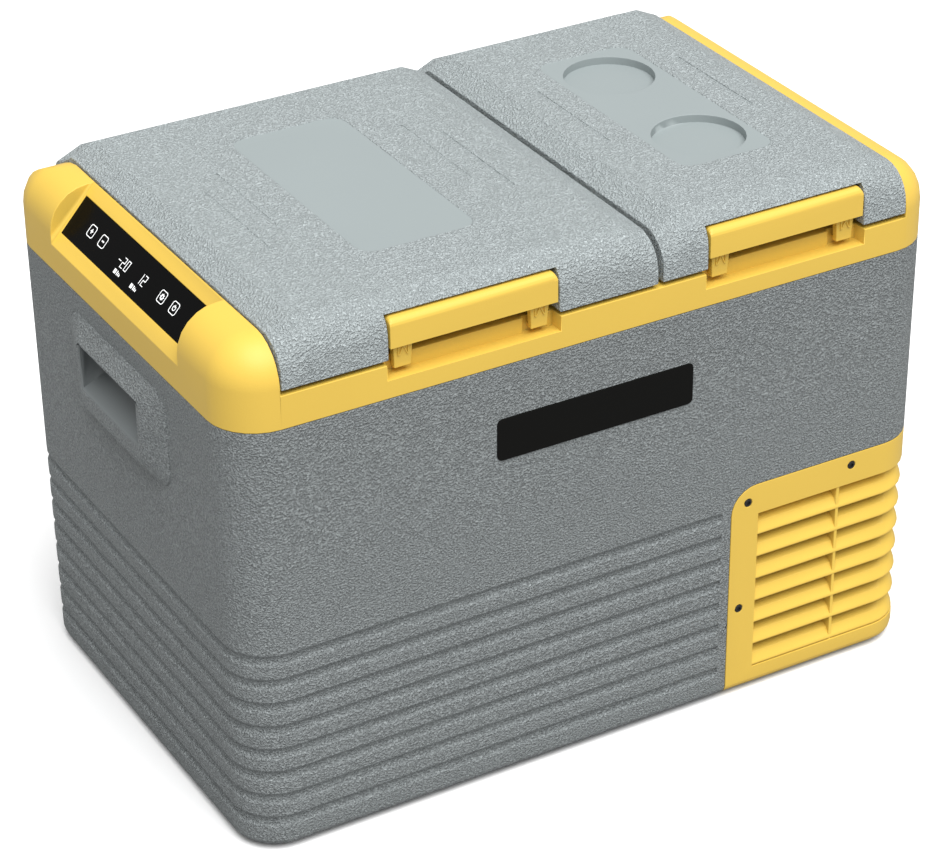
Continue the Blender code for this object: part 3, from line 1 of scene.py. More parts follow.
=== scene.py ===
"""Studio scene of a twin-lid compressor cooler fridge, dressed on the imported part.

Every shown piece is either a part node with a finish, or a merged and softened copy that stands for it.
"""

import json
import logging
import math
from dataclasses import dataclass
from enum import Enum
from functools import cached_property
from typing import Callable, ClassVar, Optional

import bmesh
import bpy
from mathutils import Matrix, Vector

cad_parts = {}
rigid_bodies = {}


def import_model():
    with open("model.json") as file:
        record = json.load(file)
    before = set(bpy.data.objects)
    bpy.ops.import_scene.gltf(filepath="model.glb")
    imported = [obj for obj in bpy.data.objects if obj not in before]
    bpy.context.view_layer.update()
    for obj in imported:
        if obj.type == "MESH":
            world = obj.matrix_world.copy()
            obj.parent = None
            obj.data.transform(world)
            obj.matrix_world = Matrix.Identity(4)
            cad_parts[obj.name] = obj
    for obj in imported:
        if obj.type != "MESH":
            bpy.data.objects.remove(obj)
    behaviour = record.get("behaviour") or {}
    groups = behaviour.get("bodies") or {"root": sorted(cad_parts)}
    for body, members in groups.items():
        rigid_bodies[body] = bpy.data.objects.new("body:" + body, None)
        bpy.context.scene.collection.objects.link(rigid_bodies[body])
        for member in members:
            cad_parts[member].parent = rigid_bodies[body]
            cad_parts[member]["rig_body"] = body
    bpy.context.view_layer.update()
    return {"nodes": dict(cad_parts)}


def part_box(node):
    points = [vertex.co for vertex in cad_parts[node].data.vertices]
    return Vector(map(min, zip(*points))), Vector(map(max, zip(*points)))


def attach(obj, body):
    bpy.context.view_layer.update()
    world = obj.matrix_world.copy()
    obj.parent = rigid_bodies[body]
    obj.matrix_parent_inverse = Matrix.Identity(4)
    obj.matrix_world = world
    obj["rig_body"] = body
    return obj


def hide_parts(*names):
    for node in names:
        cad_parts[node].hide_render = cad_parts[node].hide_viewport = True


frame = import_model()

LOG = logging.getLogger("cooler_scene")
GRAIN_GROUP = "moulded_grain"
MERGE_DISTANCE = 1e-6
FLAT_ANGLE = math.radians(0.4)
MM = 0.001
# Strips in a wide and in a common rounding. Ends of edges shorter than TIGHT_SHARE roundings stay sharp.
WIDE_STRIPS = 4
EDGE_STRIPS = 2
TIGHT_SHARE = 2.5
# How far a finish's roughness swings about its middle, and the least that it may be.
ROUGHNESS_SWING = 0.05
LEAST_ROUGHNESS = 0.02
# Settings of the grain's noises, and the part of the fine noise that is spread over the full depth.
FINE_NOISE = {"Detail": 1.5, "Roughness": 0.55, "Distortion": 0.35}
SLOW_NOISE = {"Scale": 9.0, "Detail": 3.0}
GRAIN_SPREAD = {"From Min": 0.32, "From Max": 0.68}

Colour = tuple[float, float, float]
FaceTest = Callable[[bmesh.types.BMFace], bool]
EdgeTest = Callable[[bmesh.types.BMEdge], bool]
ShapeChange = Callable[[bmesh.types.BMesh], None]


class Side(Enum):
    """The two lids, by the part's names for them."""

    LEFT = "left"
    RIGHT = "right"


class Texture(Enum):
    """How a moulded surface feels: the grain's cells per metre and its depth in metres."""

    LEATHER = (600.0, 0.0018)
    SATIN = (900.0, 0.00003)
    PLAIN = (300.0, 0.0)

    @property
    def scale(self) -> float:
        """Cells of grain per metre."""
        return self.value[0]

    @property
    def depth(self) -> float:
        """Depth of the grain in metres."""
        return self.value[1]


def set_inputs(node: bpy.types.Node, values: dict[str, float]) -> None:
    """Sets inputs of a node by their names.

    Args:
        node: The node.
        values: The inputs' names and values.
    """
    for name, value in values.items():
        node.inputs[name].default_value = value


def direction(azimuth: float, elevation: float) -> Vector:
    """Finds the direction from the object towards a camera or a light.

    Args:
        azimuth: Turn to the side in degrees, 0 in front of the object.
        elevation: Height angle in degrees.

    Returns:
        The direction, of length 1.
    """
    side, lift = math.radians(azimuth), math.radians(elevation)
    return Vector((math.sin(side) * math.cos(lift), -math.cos(side) * math.cos(lift), math.sin(lift)))


def grain_group() -> bpy.types.NodeTree:
    """Finds or builds the node group with the grain of moulded plastic.

    Returns:
        A shader node group with the outputs Height, for bumps, and Cloud, for slow unevenness.
    """
    found = bpy.data.node_groups.get(GRAIN_GROUP)
    if found:
        return found
    tree = bpy.data.node_groups.new(GRAIN_GROUP, "ShaderNodeTree")
    tree.interface.new_socket("Vector", in_out="INPUT", socket_type="NodeSocketVector")
    tree.interface.new_socket("Scale", in_out="INPUT", socket_type="NodeSocketFloat")
    tree.interface.new_socket("Height", in_out="OUTPUT", socket_type="NodeSocketFloat")
    tree.interface.new_socket("Cloud", in_out="OUTPUT", socket_type="NodeSocketFloat")
    nodes = tree.nodes
    link = tree.links.new
    source = nodes.new("NodeGroupInput")
    sink = nodes.new("NodeGroupOutput")
    fine = nodes.new("ShaderNodeTexNoise")
    set_inputs(fine, FINE_NOISE)
    link(source.outputs["Vector"], fine.inputs["Vector"])
    link(source.outputs["Scale"], fine.inputs["Scale"])
    spread = nodes.new("ShaderNodeMapRange")
    set_inputs(spread, GRAIN_SPREAD)
    link(fine.outputs["Fac"], spread.inputs["Value"])
    link(spread.outputs["Result"], sink.inputs["Height"])
    slow = nodes.new("ShaderNodeTexNoise")
    set_inputs(slow, SLOW_NOISE)
    link(source.outputs["Vector"], slow.inputs["Vector"])
    link(slow.outputs["Fac"], sink.inputs["Cloud"])
    return tree


@dataclass(frozen=True)
class Finish:
    """One surface finish.

    Args:
        name: The material's name.
        slot: The record's material slot; not used.
        colour: Linear base colour.
        roughness: Middle roughness.
        metallic: 1 for bare metal.
        texture: Grain of the surface.
        tint: Share by which the grain lightens and darkens the colour.
        shine: Level of the mirror-like reflection, 0.5 for common plastic.
        glow: Strength of the surface's own light.
    """

    name: str
    slot: str
    colour: Colour
    roughness: float
    metallic: float = 0.0
    texture: Texture = Texture.PLAIN
    tint: float = 0.04
    shine: float = 0.5
    glow: float = 0.0

    def shade(self, factor: float) -> tuple[float, float, float, float]:
        """The colour made lighter or darker.

        Args:
            factor: What the colour is multiplied by.

        Returns:
            The colour with an alpha of 1.
        """
        red, green, blue = (min(1.0, c * factor) for c in self.colour)
        return red, green, blue, 1.0

    def material(self) -> bpy.types.Material:
        """Finds or builds the material of this finish.

        Returns:
            The node material.
        """
        name = f"{self.name}_look"
        found = bpy.data.materials.get(name)
        if found:
            return found
        material = bpy.data.materials.new(name)
        material.use_nodes = True
        nodes = material.node_tree.nodes
        link = material.node_tree.links.new
        nodes.clear()
        output = nodes.new("ShaderNodeOutputMaterial")
        shader = nodes.new("ShaderNodeBsdfPrincipled")
        link(shader.outputs["BSDF"], output.inputs["Surface"])
        set_inputs(shader, {
            "Metallic": self.metallic, "Specular IOR Level": self.shine, "Emission Strength": self.glow,
        })
        shader.inputs["Emission Color"].default_value = self.shade(1.0)
        place = nodes.new("ShaderNodeTexCoord")
        grain = nodes.new("ShaderNodeGroup")
        grain.node_tree = grain_group()
        grain.inputs["Scale"].default_value = self.texture.scale
        link(place.outputs["Object"], grain.inputs["Vector"])
        mix = nodes.new("ShaderNodeMix")
        mix.data_type = "RGBA"
        mix.inputs["A"].default_value = self.shade(1.0 - self.tint)
        mix.inputs["B"].default_value = self.shade(1.0 + self.tint)
        patchy = self.texture is not Texture.LEATHER
        link(grain.outputs["Cloud" if patchy else "Height"], mix.inputs["Factor"])
        link(mix.outputs["Result"], shader.inputs["Base Color"])
        swing = nodes.new("ShaderNodeMapRange")
        set_inputs(swing, {
            "To Min": max(LEAST_ROUGHNESS, self.roughness - ROUGHNESS_SWING),
            "To Max": min(1.0, self.roughness + ROUGHNESS_SWING),
        })
        link(grain.outputs["Cloud"], swing.inputs["Value"])
        link(swing.outputs["Result"], shader.inputs["Roughness"])
        if self.texture.depth:
            bump = nodes.new("ShaderNodeBump")
            set_inputs(bump, {"Strength": 1.0, "Distance": self.texture.depth})
            link(grain.outputs["Height"], bump.inputs["Height"])
            link(bump.outputs["Normal"], shader.inputs["Normal"])
        return material


GREY_GRAIN = Finish(
    "grey_grain", "grey_shell", (0.236, 0.257, 0.260), 0.55, texture=Texture.LEATHER, tint=0.34
)
# The lids take the shell's plastic in a lighter grey: this is painted light, standing in for the light from
# above.
GREY_LID_PAINTED_LIGHT = Finish(
    "grey_lid_painted_light", "grey_shell", (0.385, 0.427, 0.432), 0.55, texture=Texture.LEATHER, tint=0.24
)
GREY_SMOOTH = Finish(
    "grey_smooth", "grey_shell", (0.275, 0.312, 0.314), 0.48, texture=Texture.SATIN, tint=0.02
)
# The finger pockets' inner faces are smooth like the pads. Their darker grey is painted shade in the
# recesses.
GREY_POCKET_PAINTED_SHADE = Finish(
    "grey_pocket_painted_shade", "grey_shell", (0.157, 0.173, 0.175), 0.48, texture=Texture.SATIN, tint=0.02
)
YELLOW = Finish(
    "yellow_satin", "yellow_plastic", (0.730, 0.490, 0.080), 0.46, texture=Texture.SATIN, tint=0.03,
    shine=0.35,
)
BLACK_PLATE = Finish("black_plate", "black_plate", (0.006, 0.006, 0.0055), 0.42, shine=0.05)
PANEL_GLASS = Finish("panel_glass", "panel_glass", (0.003, 0.003, 0.003), 0.20, shine=0.05)
MARK_WHITE = Finish("mark_white", "panel_glass", (0.85, 0.86, 0.86), 0.40, glow=0.55)
BLACK_PLASTIC = Finish("black_plastic", "black_plastic", (0.016, 0.016, 0.017), 0.42, texture=Texture.SATIN)
WHITE_LINER = Finish(
    "white_liner", "white_liner", (0.760, 0.775, 0.775), 0.35, texture=Texture.SATIN, tint=0.02
)
FOAM = Finish("foam", "foam", (0.800, 0.730, 0.520), 0.90)
RUBBER = Finish("rubber", "rubber", (0.020, 0.020, 0.021), 0.75)
SEAL = Finish("seal", "seal", (0.130, 0.135, 0.140), 0.70)
STEEL = Finish("steel", "steel", (0.560, 0.565, 0.570), 0.30, metallic=1.0)
DARK_SCREW = Finish("dark_screw", "dark_screw", (0.030, 0.030, 0.032), 0.42, metallic=0.6)
ALUMINIUM = Finish("aluminium", "aluminium", (0.720, 0.730, 0.740), 0.36, metallic=1.0)
ENAMEL = Finish("black_enamel", "black_enamel", (0.012, 0.012, 0.013), 0.34)
BOARD = Finish("circuit_board", "circuit_board", (0.020, 0.120, 0.050), 0.50)


def add_piece(name: str, bm: bmesh.types.BMesh, body: str, finishes: list[Finish]) -> bpy.types.Object:
    """Turns a bmesh into a shown piece that rides on a body.

    Args:
        name: The piece's name.
        bm: The shape, in the part's frame. It is freed here.
        body: The body that the piece moves with.
        finishes: Finishes in the order of the faces' material indices.

    Returns:
        The new object.
    """
    mesh = bpy.data.meshes.new(name)
    bm.to_mesh(mesh)
    bm.free()
    for finish in finishes:
        mesh.materials.append(finish.material())
    piece = bpy.data.objects.new(name, mesh)
    bpy.context.scene.collection.objects.link(piece)
    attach(piece, body)
    return piece


def bevel(bm: bmesh.types.BMesh, edges: list[bmesh.types.BMEdge], width: float, segments: int) -> None:
    """Rounds edges.

    Args:
        bm: The shape.
        edges: The edges.
        width: Width of the rounding in metres.
        segments: Number of strips in the rounding.
    """
    if edges:
        bmesh.ops.bevel(
            bm, geom=edges, offset=width, offset_type="OFFSET", segments=segments, affect="EDGES",
            profile=0.5, material=-1, clamp_overlap=False, loop_slide=True,
        )


@dataclass
class Skin:
    """A merged copy of a part node with softened edges, which stands for the node.

    Args:
        node: The part node.
        finish: The finish of the whole piece.
        edge: Width of the rounding on sharp edges, in metres.
        crease: Angle in degrees above which an edge is shaded as a fold.
        sharp: Angle in degrees above which an edge is rounded.
        accent: A second finish.
        accent_on: Tells which faces take the second finish.
        wide: Width of a larger rounding, in metres.
        wide_on: Tells which sharp edges take the larger rounding.
        prepare: Changes the copy before its edges are rounded.
    """

    node: str
    finish: Finish
    edge: float = 0.6 * MM
    crease: float = 16.0
    sharp: float = 30.0
    accent: Optional[Finish] = None
    accent_on: Optional[FaceTest] = None
    wide: float = 0.0
    wide_on: Optional[EdgeTest] = None
    prepare: Optional[ShapeChange] = None

    def shape(self) -> bmesh.types.BMesh:
        """Copies the node's mesh and rounds its sharp edges.

        Returns:
            The new shape.
        """
        bm = bmesh.new()
        bm.from_mesh(frame["nodes"][self.node].data)
        bmesh.ops.remove_doubles(bm, verts=bm.verts, dist=MERGE_DISTANCE)
        if self.prepare:
            self.prepare(bm)
        bmesh.ops.join_triangles(
            bm, faces=bm.faces, angle_face_threshold=FLAT_ANGLE, angle_shape_threshold=math.pi
        )
        self.round_edges(bm)
        bmesh.ops.dissolve_degenerate(bm, dist=MERGE_DISTANCE, edges=bm.edges)
        for face in bm.faces:
            face.smooth = True
            if self.accent_on and self.accent_on(face):
                face.material_index = 1
            else:
                face.material_index = 0
        return bm

    def sharp_edges(self, bm: bmesh.types.BMesh) -> list[bmesh.types.BMEdge]:
        """Finds the outer edges that are sharp enough to be rounded.

        Args:
            bm: The shape.

        Returns:
            The edges.
        """
        limit = math.radians(self.sharp)
        return [e for e in bm.edges if e.is_manifold and e.is_convex and e.calc_face_angle() > limit]

    def round_edges(self, bm: bmesh.types.BMesh) -> None:
        """Rounds the chosen edges widely, and then the other sharp edges that have room for it.

        Args:
            bm: The shape.
        """
        if self.wide_on:
            bevel(bm, [e for e in self.sharp_edges(bm) if self.wide_on(e)], self.wide, WIDE_STRIPS)
        if self.edge:
            sharp = self.sharp_edges(bm)
            tight = {v for e in sharp if e.calc_length() < TIGHT_SHARE * self.edge for v in e.verts}
            bevel(bm, [e for e in sharp if not tight & set(e.verts)], self.edge, EDGE_STRIPS)

    def build(self) -> bpy.types.Object:
        """Makes the piece and hides the node that it stands for.

        Returns:
            The piece.
        """
        body = frame["nodes"][self.node]["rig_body"]
        finishes = [self.finish] + ([self.accent] if self.accent else [])
        piece = add_piece(f"{self.node}_skin", self.shape(), body, finishes)
        piece.data.set_sharp_from_angle(angle=math.radians(self.crease))
        weighted = piece.modifiers.new("face_weights", "WEIGHTED_NORMAL")
        weighted.keep_sharp = True
        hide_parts(self.node)
        return piece


@dataclass
class Cabinet:
    """The shell with its finger pockets, the badge plate and the feet.

    Args:
        feet: Number of feet.
        pocket_half: Half the length of a finger pocket.
        pocket_span: Lower and upper height of the pockets.
        pocket_reach: Depth behind the handle faces that holds the pockets.
        face_x: Distance of the handle faces from the middle.
        shade_margin: Distance by which the outline is widened for the pockets' inner faces, which take the
            painted shade.
        shade_drop: Least depth of a shaded face behind the handle faces.
        rim_margin: Distance from the outline and the handle faces within which an edge is on the rim.
    """

    feet: int = 4
    pocket_half: float = 0.054
    pocket_span: tuple[float, float] = (0.320, 0.360)
    pocket_reach: float = 0.040
    face_x: float = 0.340
    shade_margin: float = 1.5 * MM
    shade_drop: float = 0.1 * MM
    rim_margin: float = 1.0 * MM

    def near_pocket(self, spot: Vector, margin: float) -> bool:
        """Tells whether a point lies within the outline of a finger pocket.

        Args:
            spot: The point.
            margin: Distance by which the outline is widened.

        Returns:
            True inside the outline.
        """
        low, high = self.pocket_span
        level = low - margin < spot.z < high + margin
        behind = abs(spot.x) > self.face_x - self.pocket_reach
        return level and behind and abs(spot.y) < self.pocket_half + margin

    def in_pocket(self, face: bmesh.types.BMFace) -> bool:
        """Tells whether a face lines a finger pocket and so takes the darker grey of painted shade."""
        centre = face.calc_center_median()
        return self.near_pocket(centre, self.shade_margin) and abs(centre.x) < self.face_x - self.shade_drop

    def on_rim(self, edge: bmesh.types.BMEdge) -> bool:
        """Tells whether an edge belongs to the rim of a finger pocket."""
        margin = self.rim_margin
        return all(abs(v.co.x) > self.face_x - margin and self.near_pocket(v.co, margin) for v in edge.verts)

    def build(self) -> None:
        """Dresses the cabinet's outside."""
        # The pockets' inner faces take the darker grey, which is painted shade in the recesses.
        Skin(
            "outer_shell", GREY_GRAIN, edge=1.0 * MM, crease=48.0, accent=GREY_POCKET_PAINTED_SHADE,
            accent_on=self.in_pocket, wide=2.0 * MM, wide_on=self.on_rim,
        ).build()
        Skin("badge_plate", BLACK_PLATE, edge=0.4 * MM).build()
        for i in range(self.feet):
            Skin(f"foot_{i + 1}", RUBBER, edge=0.8 * MM).build()


@dataclass
class TopFrame:
    """The yellow collar with its two end blocks."""

    def build(self) -> None:
        """Dresses the frame."""
        Skin("top_frame", YELLOW, edge=0.6 * MM, crease=40.0).build()


@dataclass
class Lid:
    """One lid with its pull bar.

    Args:
        side: Which lid it is.
        pad_height: Height of the smooth pad in metres.
        pad_slack: Height over the pad that still counts as pad.
        pad_floor: Height under the floors of the cup recesses.
        pad_y: The pad's middle across the cabinet.
        pad_half: Half the pad's room along and across the cabinet.
        leg_in: Distance of a leg's middle from the end of the pull bar.
        leg_depth: Distance of the legs' faces behind the bar's face.
        rib_rise: Height of the ribs' middle over the legs' feet.
        ribs: Offset from a leg's middle in millimetres and lean in radians, for each rib.
        rib_size: Width, depth and height of a rib in millimetres.
        rib_round: Rounding of the ribs' long edges.
        bar_round: Radius of the pull bar's upper corners.
        bar_crown: Height of the pull bar's part that follows the corners.
        bar_cuts: Places of the cuts across a corner, as shares of its radius.
    """

    side: Side
    pad_height: float = 0.4782
    pad_slack: float = 0.2 * MM
    pad_floor: float = 0.470
    pad_y: float = -0.008
    pad_half: tuple[float, float] = (0.054, 0.122)
    leg_in: float = 0.0135
    leg_depth: float = 0.0054
    rib_rise: float = 0.0160
    ribs: tuple[tuple[float, float], ...] = ((-4.2, 0.0), (-1.2, 0.42), (1.6, -0.42), (4.4, 0.0))
    rib_size: tuple[float, float, float] = (1.0, 2.0, 10.0)
    rib_round: float = 0.3 * MM
    bar_round: float = 0.0036
    bar_crown: float = 0.0055
    bar_cuts: tuple[float, ...] = (0.08, 0.3, 0.62, 1.0)

    @cached_property
    def bar_box(self) -> tuple[Vector, Vector]:
        """The pull bar's box."""
        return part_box(f"latch_{self.side.value}")

    @cached_property
    def middle(self) -> float:
        """The lid's middle along the cabinet."""
        low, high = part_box(f"lid_{self.side.value}_cover")
        return (low.x + high.x) / 2

    def on_pad(self, face: bmesh.types.BMFace) -> bool:
        """Tells whether a face belongs to the smooth pad or its cup recesses.

        Args:
            face: The face.

        Returns:
            True on the pad and in the recesses.
        """
        centre = face.calc_center_median()
        along, across = self.pad_half
        near = abs(centre.x - self.middle) < along and abs(centre.y - self.pad_y) < across
        return near and self.pad_floor < centre.z < self.pad_height + self.pad_slack

    def round_bar(self, bm: bmesh.types.BMesh) -> None:
        """Rounds the upper corners at the ends of the pull bar.

        Args:
            bm: The pull bar's shape.
        """
        low, high = self.bar_box
        radius = self.bar_round
        for end, inward in ((low.x, 1), (high.x, -1)):
            for share in self.bar_cuts:
                bmesh.ops.bisect_plane(
                    bm, geom=bm.verts[:] + bm.edges[:] + bm.faces[:], dist=MERGE_DISTANCE,
                    plane_co=(end + inward * share * radius, 0.0, 0.0), plane_no=(1.0, 0.0, 0.0),
                )
        for vertex in bm.verts:
            inside = min(vertex.co.x - low.x, high.x - vertex.co.x)
            height = (vertex.co.z - high.z) / self.bar_crown + 1.0
            if inside < radius and height > 0.0:
                fall = radius - math.sqrt(max(0.0, radius ** 2 - (radius - inside) ** 2))
                vertex.co.z -= fall * height

    def leg_ribs(self) -> None:
        """Adds the slanted ribs on the pull bar's two legs."""
        name = f"latch_{self.side.value}"
        low, high = self.bar_box
        middle = (low.x + high.x) / 2
        size = Matrix.Diagonal([length * MM for length in self.rib_size] + [1.0])
        half_height = self.rib_size[2] / 2 * MM
        bm = bmesh.new()
        for leg in (-1, 1):
            centre = middle + leg * ((high.x - low.x) / 2 - self.leg_in)
            for offset, lean in self.ribs:
                spot = Vector((centre + offset * MM, low.y + self.leg_depth, low.z + self.rib_rise))
                turn = Matrix.Translation(spot) @ Matrix.Rotation(lean, 4, "Y")
                bmesh.ops.create_cube(bm, size=1.0, matrix=turn @ size)
        bevel(bm, [e for e in bm.edges if e.calc_length() > half_height], self.rib_round, EDGE_STRIPS)
        add_piece(f"{name}_ribs", bm, name, [YELLOW])

    def build(self) -> None:
        """Dresses the lid and its pull bar."""
        name = self.side.value
        # The lid cover's lighter grey is painted light from above.
        Skin(
            f"lid_{name}_cover", GREY_LID_PAINTED_LIGHT, edge=0.8 * MM, accent=GREY_SMOOTH, accent_on=self.on_pad,
        ).build()
        Skin(f"lid_{name}_tray", WHITE_LINER, edge=0.8 * MM).build()
        Skin(f"lid_{name}_gasket", SEAL, edge=0.8 * MM).build()
        Skin(f"latch_{name}", YELLOW, edge=0.7 * MM, prepare=self.round_bar).build()
        self.leg_ribs()


@dataclass
class VentBoot:
    """The louvred boot with its screws and the power inlet.

    Args:
        end_x: The cabinet's end on the right.
        front_y: The cabinet's front.
        corner: Radius of the cabinet's upright corners.
        lean: How far the wall leans in at the floor.
        lean_run: Height over which the wall leans.
        wall: Thickness of the boot's wall.
        reach: Depth of the louvres in the part.
        extra: Added depth of the louvres on the front and round the corner.
        turn: Angle round the corner, in degrees, over which the depth changes.
        window: Lower and upper height of the louvres.
        window_end: How far back the louvres run at the end.
        seat_radius: Distance from a screw's middle that holds its seat.
        seat_depth: Depth behind the wall's surface that holds a seat's outer rim.
        screw_sides: Number of sides of a screw head.
        socket: Inset and rise in millimetres of each step from a screw's rim into its socket.
    """

    end_x: float = 0.330
    front_y: float = -0.2113
    corner: float = 0.0426
    lean: float = 0.003
    lean_run: float = 0.397
    wall: float = 0.003
    reach: float = 0.0107
    extra: tuple[float, float] = (0.0160, -0.0050)
    turn: float = 50.0
    window: tuple[float, float] = (0.0200, 0.1850)
    window_end: float = 0.134
    seat_radius: float = 4.5 * MM
    seat_depth: float = 0.5 * MM
    screw_sides: int = 32
    socket: tuple[tuple[float, float], ...] = ((0.5, 0.35), (1.2, 0.1), (0.1, -1.2))

    def lean_at(self, height: float) -> float:
        """How far the wall leans in at a height."""
        return self.lean * (1.0 - height / self.lean_run)

    def deepen(self, bm: bmesh.types.BMesh) -> None:
        """Moves the louvres' inner edges in on the front and out round the corner.

        Args:
            bm: The boot's shape.
        """
        low, high = self.window
        for vertex in bm.verts:
            if vertex.co.y < self.window_end and low < vertex.co.z < high:
                vertex.co -= self.shift(vertex.co)

    def shift(self, spot: Vector) -> Vector:
        """How far a point of the louvres moves in.

        Args:
            spot: The point.

        Returns:
            The move along the wall's outward direction, none within the wall's thickness.
        """
        centre = Vector((self.end_x - self.corner, self.front_y + self.corner))
        out = Vector((max(spot.x - centre.x, 0.0), min(spot.y - centre.y, 0.0)))
        depth = self.corner - self.lean_at(spot.z) - out.length
        share = (depth - self.wall) / (self.reach - self.wall)
        front, side = self.extra
        turned = min(1.0, math.degrees(math.atan2(out.x, -out.y)) / self.turn)
        return (out.normalized() * max(0.0, share) * (front + (side - front) * turned)).to_3d()

    @cached_property
    def screws(self) -> list[str]:
        """Names of the screws."""
        spots = ("corner", "top", "side")
        return [f"grille_screw_{face}_{spot}" for face in ("front", "back") for spot in spots]

    @cached_property
    def seats(self) -> list[Vector]:
        """Middles of the screws."""
        return [sum(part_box(name), Vector()) / 2 for name in self.screws]

    def on_seat(self, edge: bmesh.types.BMEdge) -> bool:
        """Tells whether an edge is the outer rim of a screw's seat.

        Args:
            edge: The edge.

        Returns:
            True on a rim.
        """
        for seat in self.seats:
            surface = -self.front_y - self.lean_at(seat.z) - self.seat_depth
            near = all((v.co - seat).xz.length < self.seat_radius for v in edge.verts)
            if near and all(abs(v.co.y) > surface for v in edge.verts):
                return seat.y * edge.verts[0].co.y > 0
        return False

    def screw(self, name: str) -> None:
        """Makes a round screw head with a socket.

        Args:
            name: The screw's node.
        """
        low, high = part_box(name)
        middle = (low + high) / 2
        radius = (high.x - low.x) / 2
        turn = Matrix.Rotation(math.radians(90.0 if middle.y < 0 else -90.0), 4, "X")
        bm = bmesh.new()
        bmesh.ops.create_cone(
            bm, cap_ends=True, segments=self.screw_sides, radius1=radius, radius2=radius,
            depth=high.y - low.y, matrix=Matrix.Translation(middle) @ turn,
        )
        head = max(bm.faces, key=lambda f: abs(f.calc_center_median().y))
        for inset, rise in self.socket:
            bmesh.ops.inset_region(bm, faces=[head], thickness=inset * MM, depth=rise * MM)
        piece = add_piece(f"{name}_head", bm, "cabinet", [DARK_SCREW])
        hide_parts(name)

    def build(self) -> None:
        """Dresses the boot."""
        Skin(
            "vent_grille", YELLOW, edge=0.4 * MM, crease=40.0, wide=0.9 * MM, wide_on=self.on_seat,
            prepare=self.deepen,
        ).build()
        for name in self.screws:
            self.screw(name)
        Skin("power_inlet", BLACK_PLASTIC, edge=0.5 * MM).build()


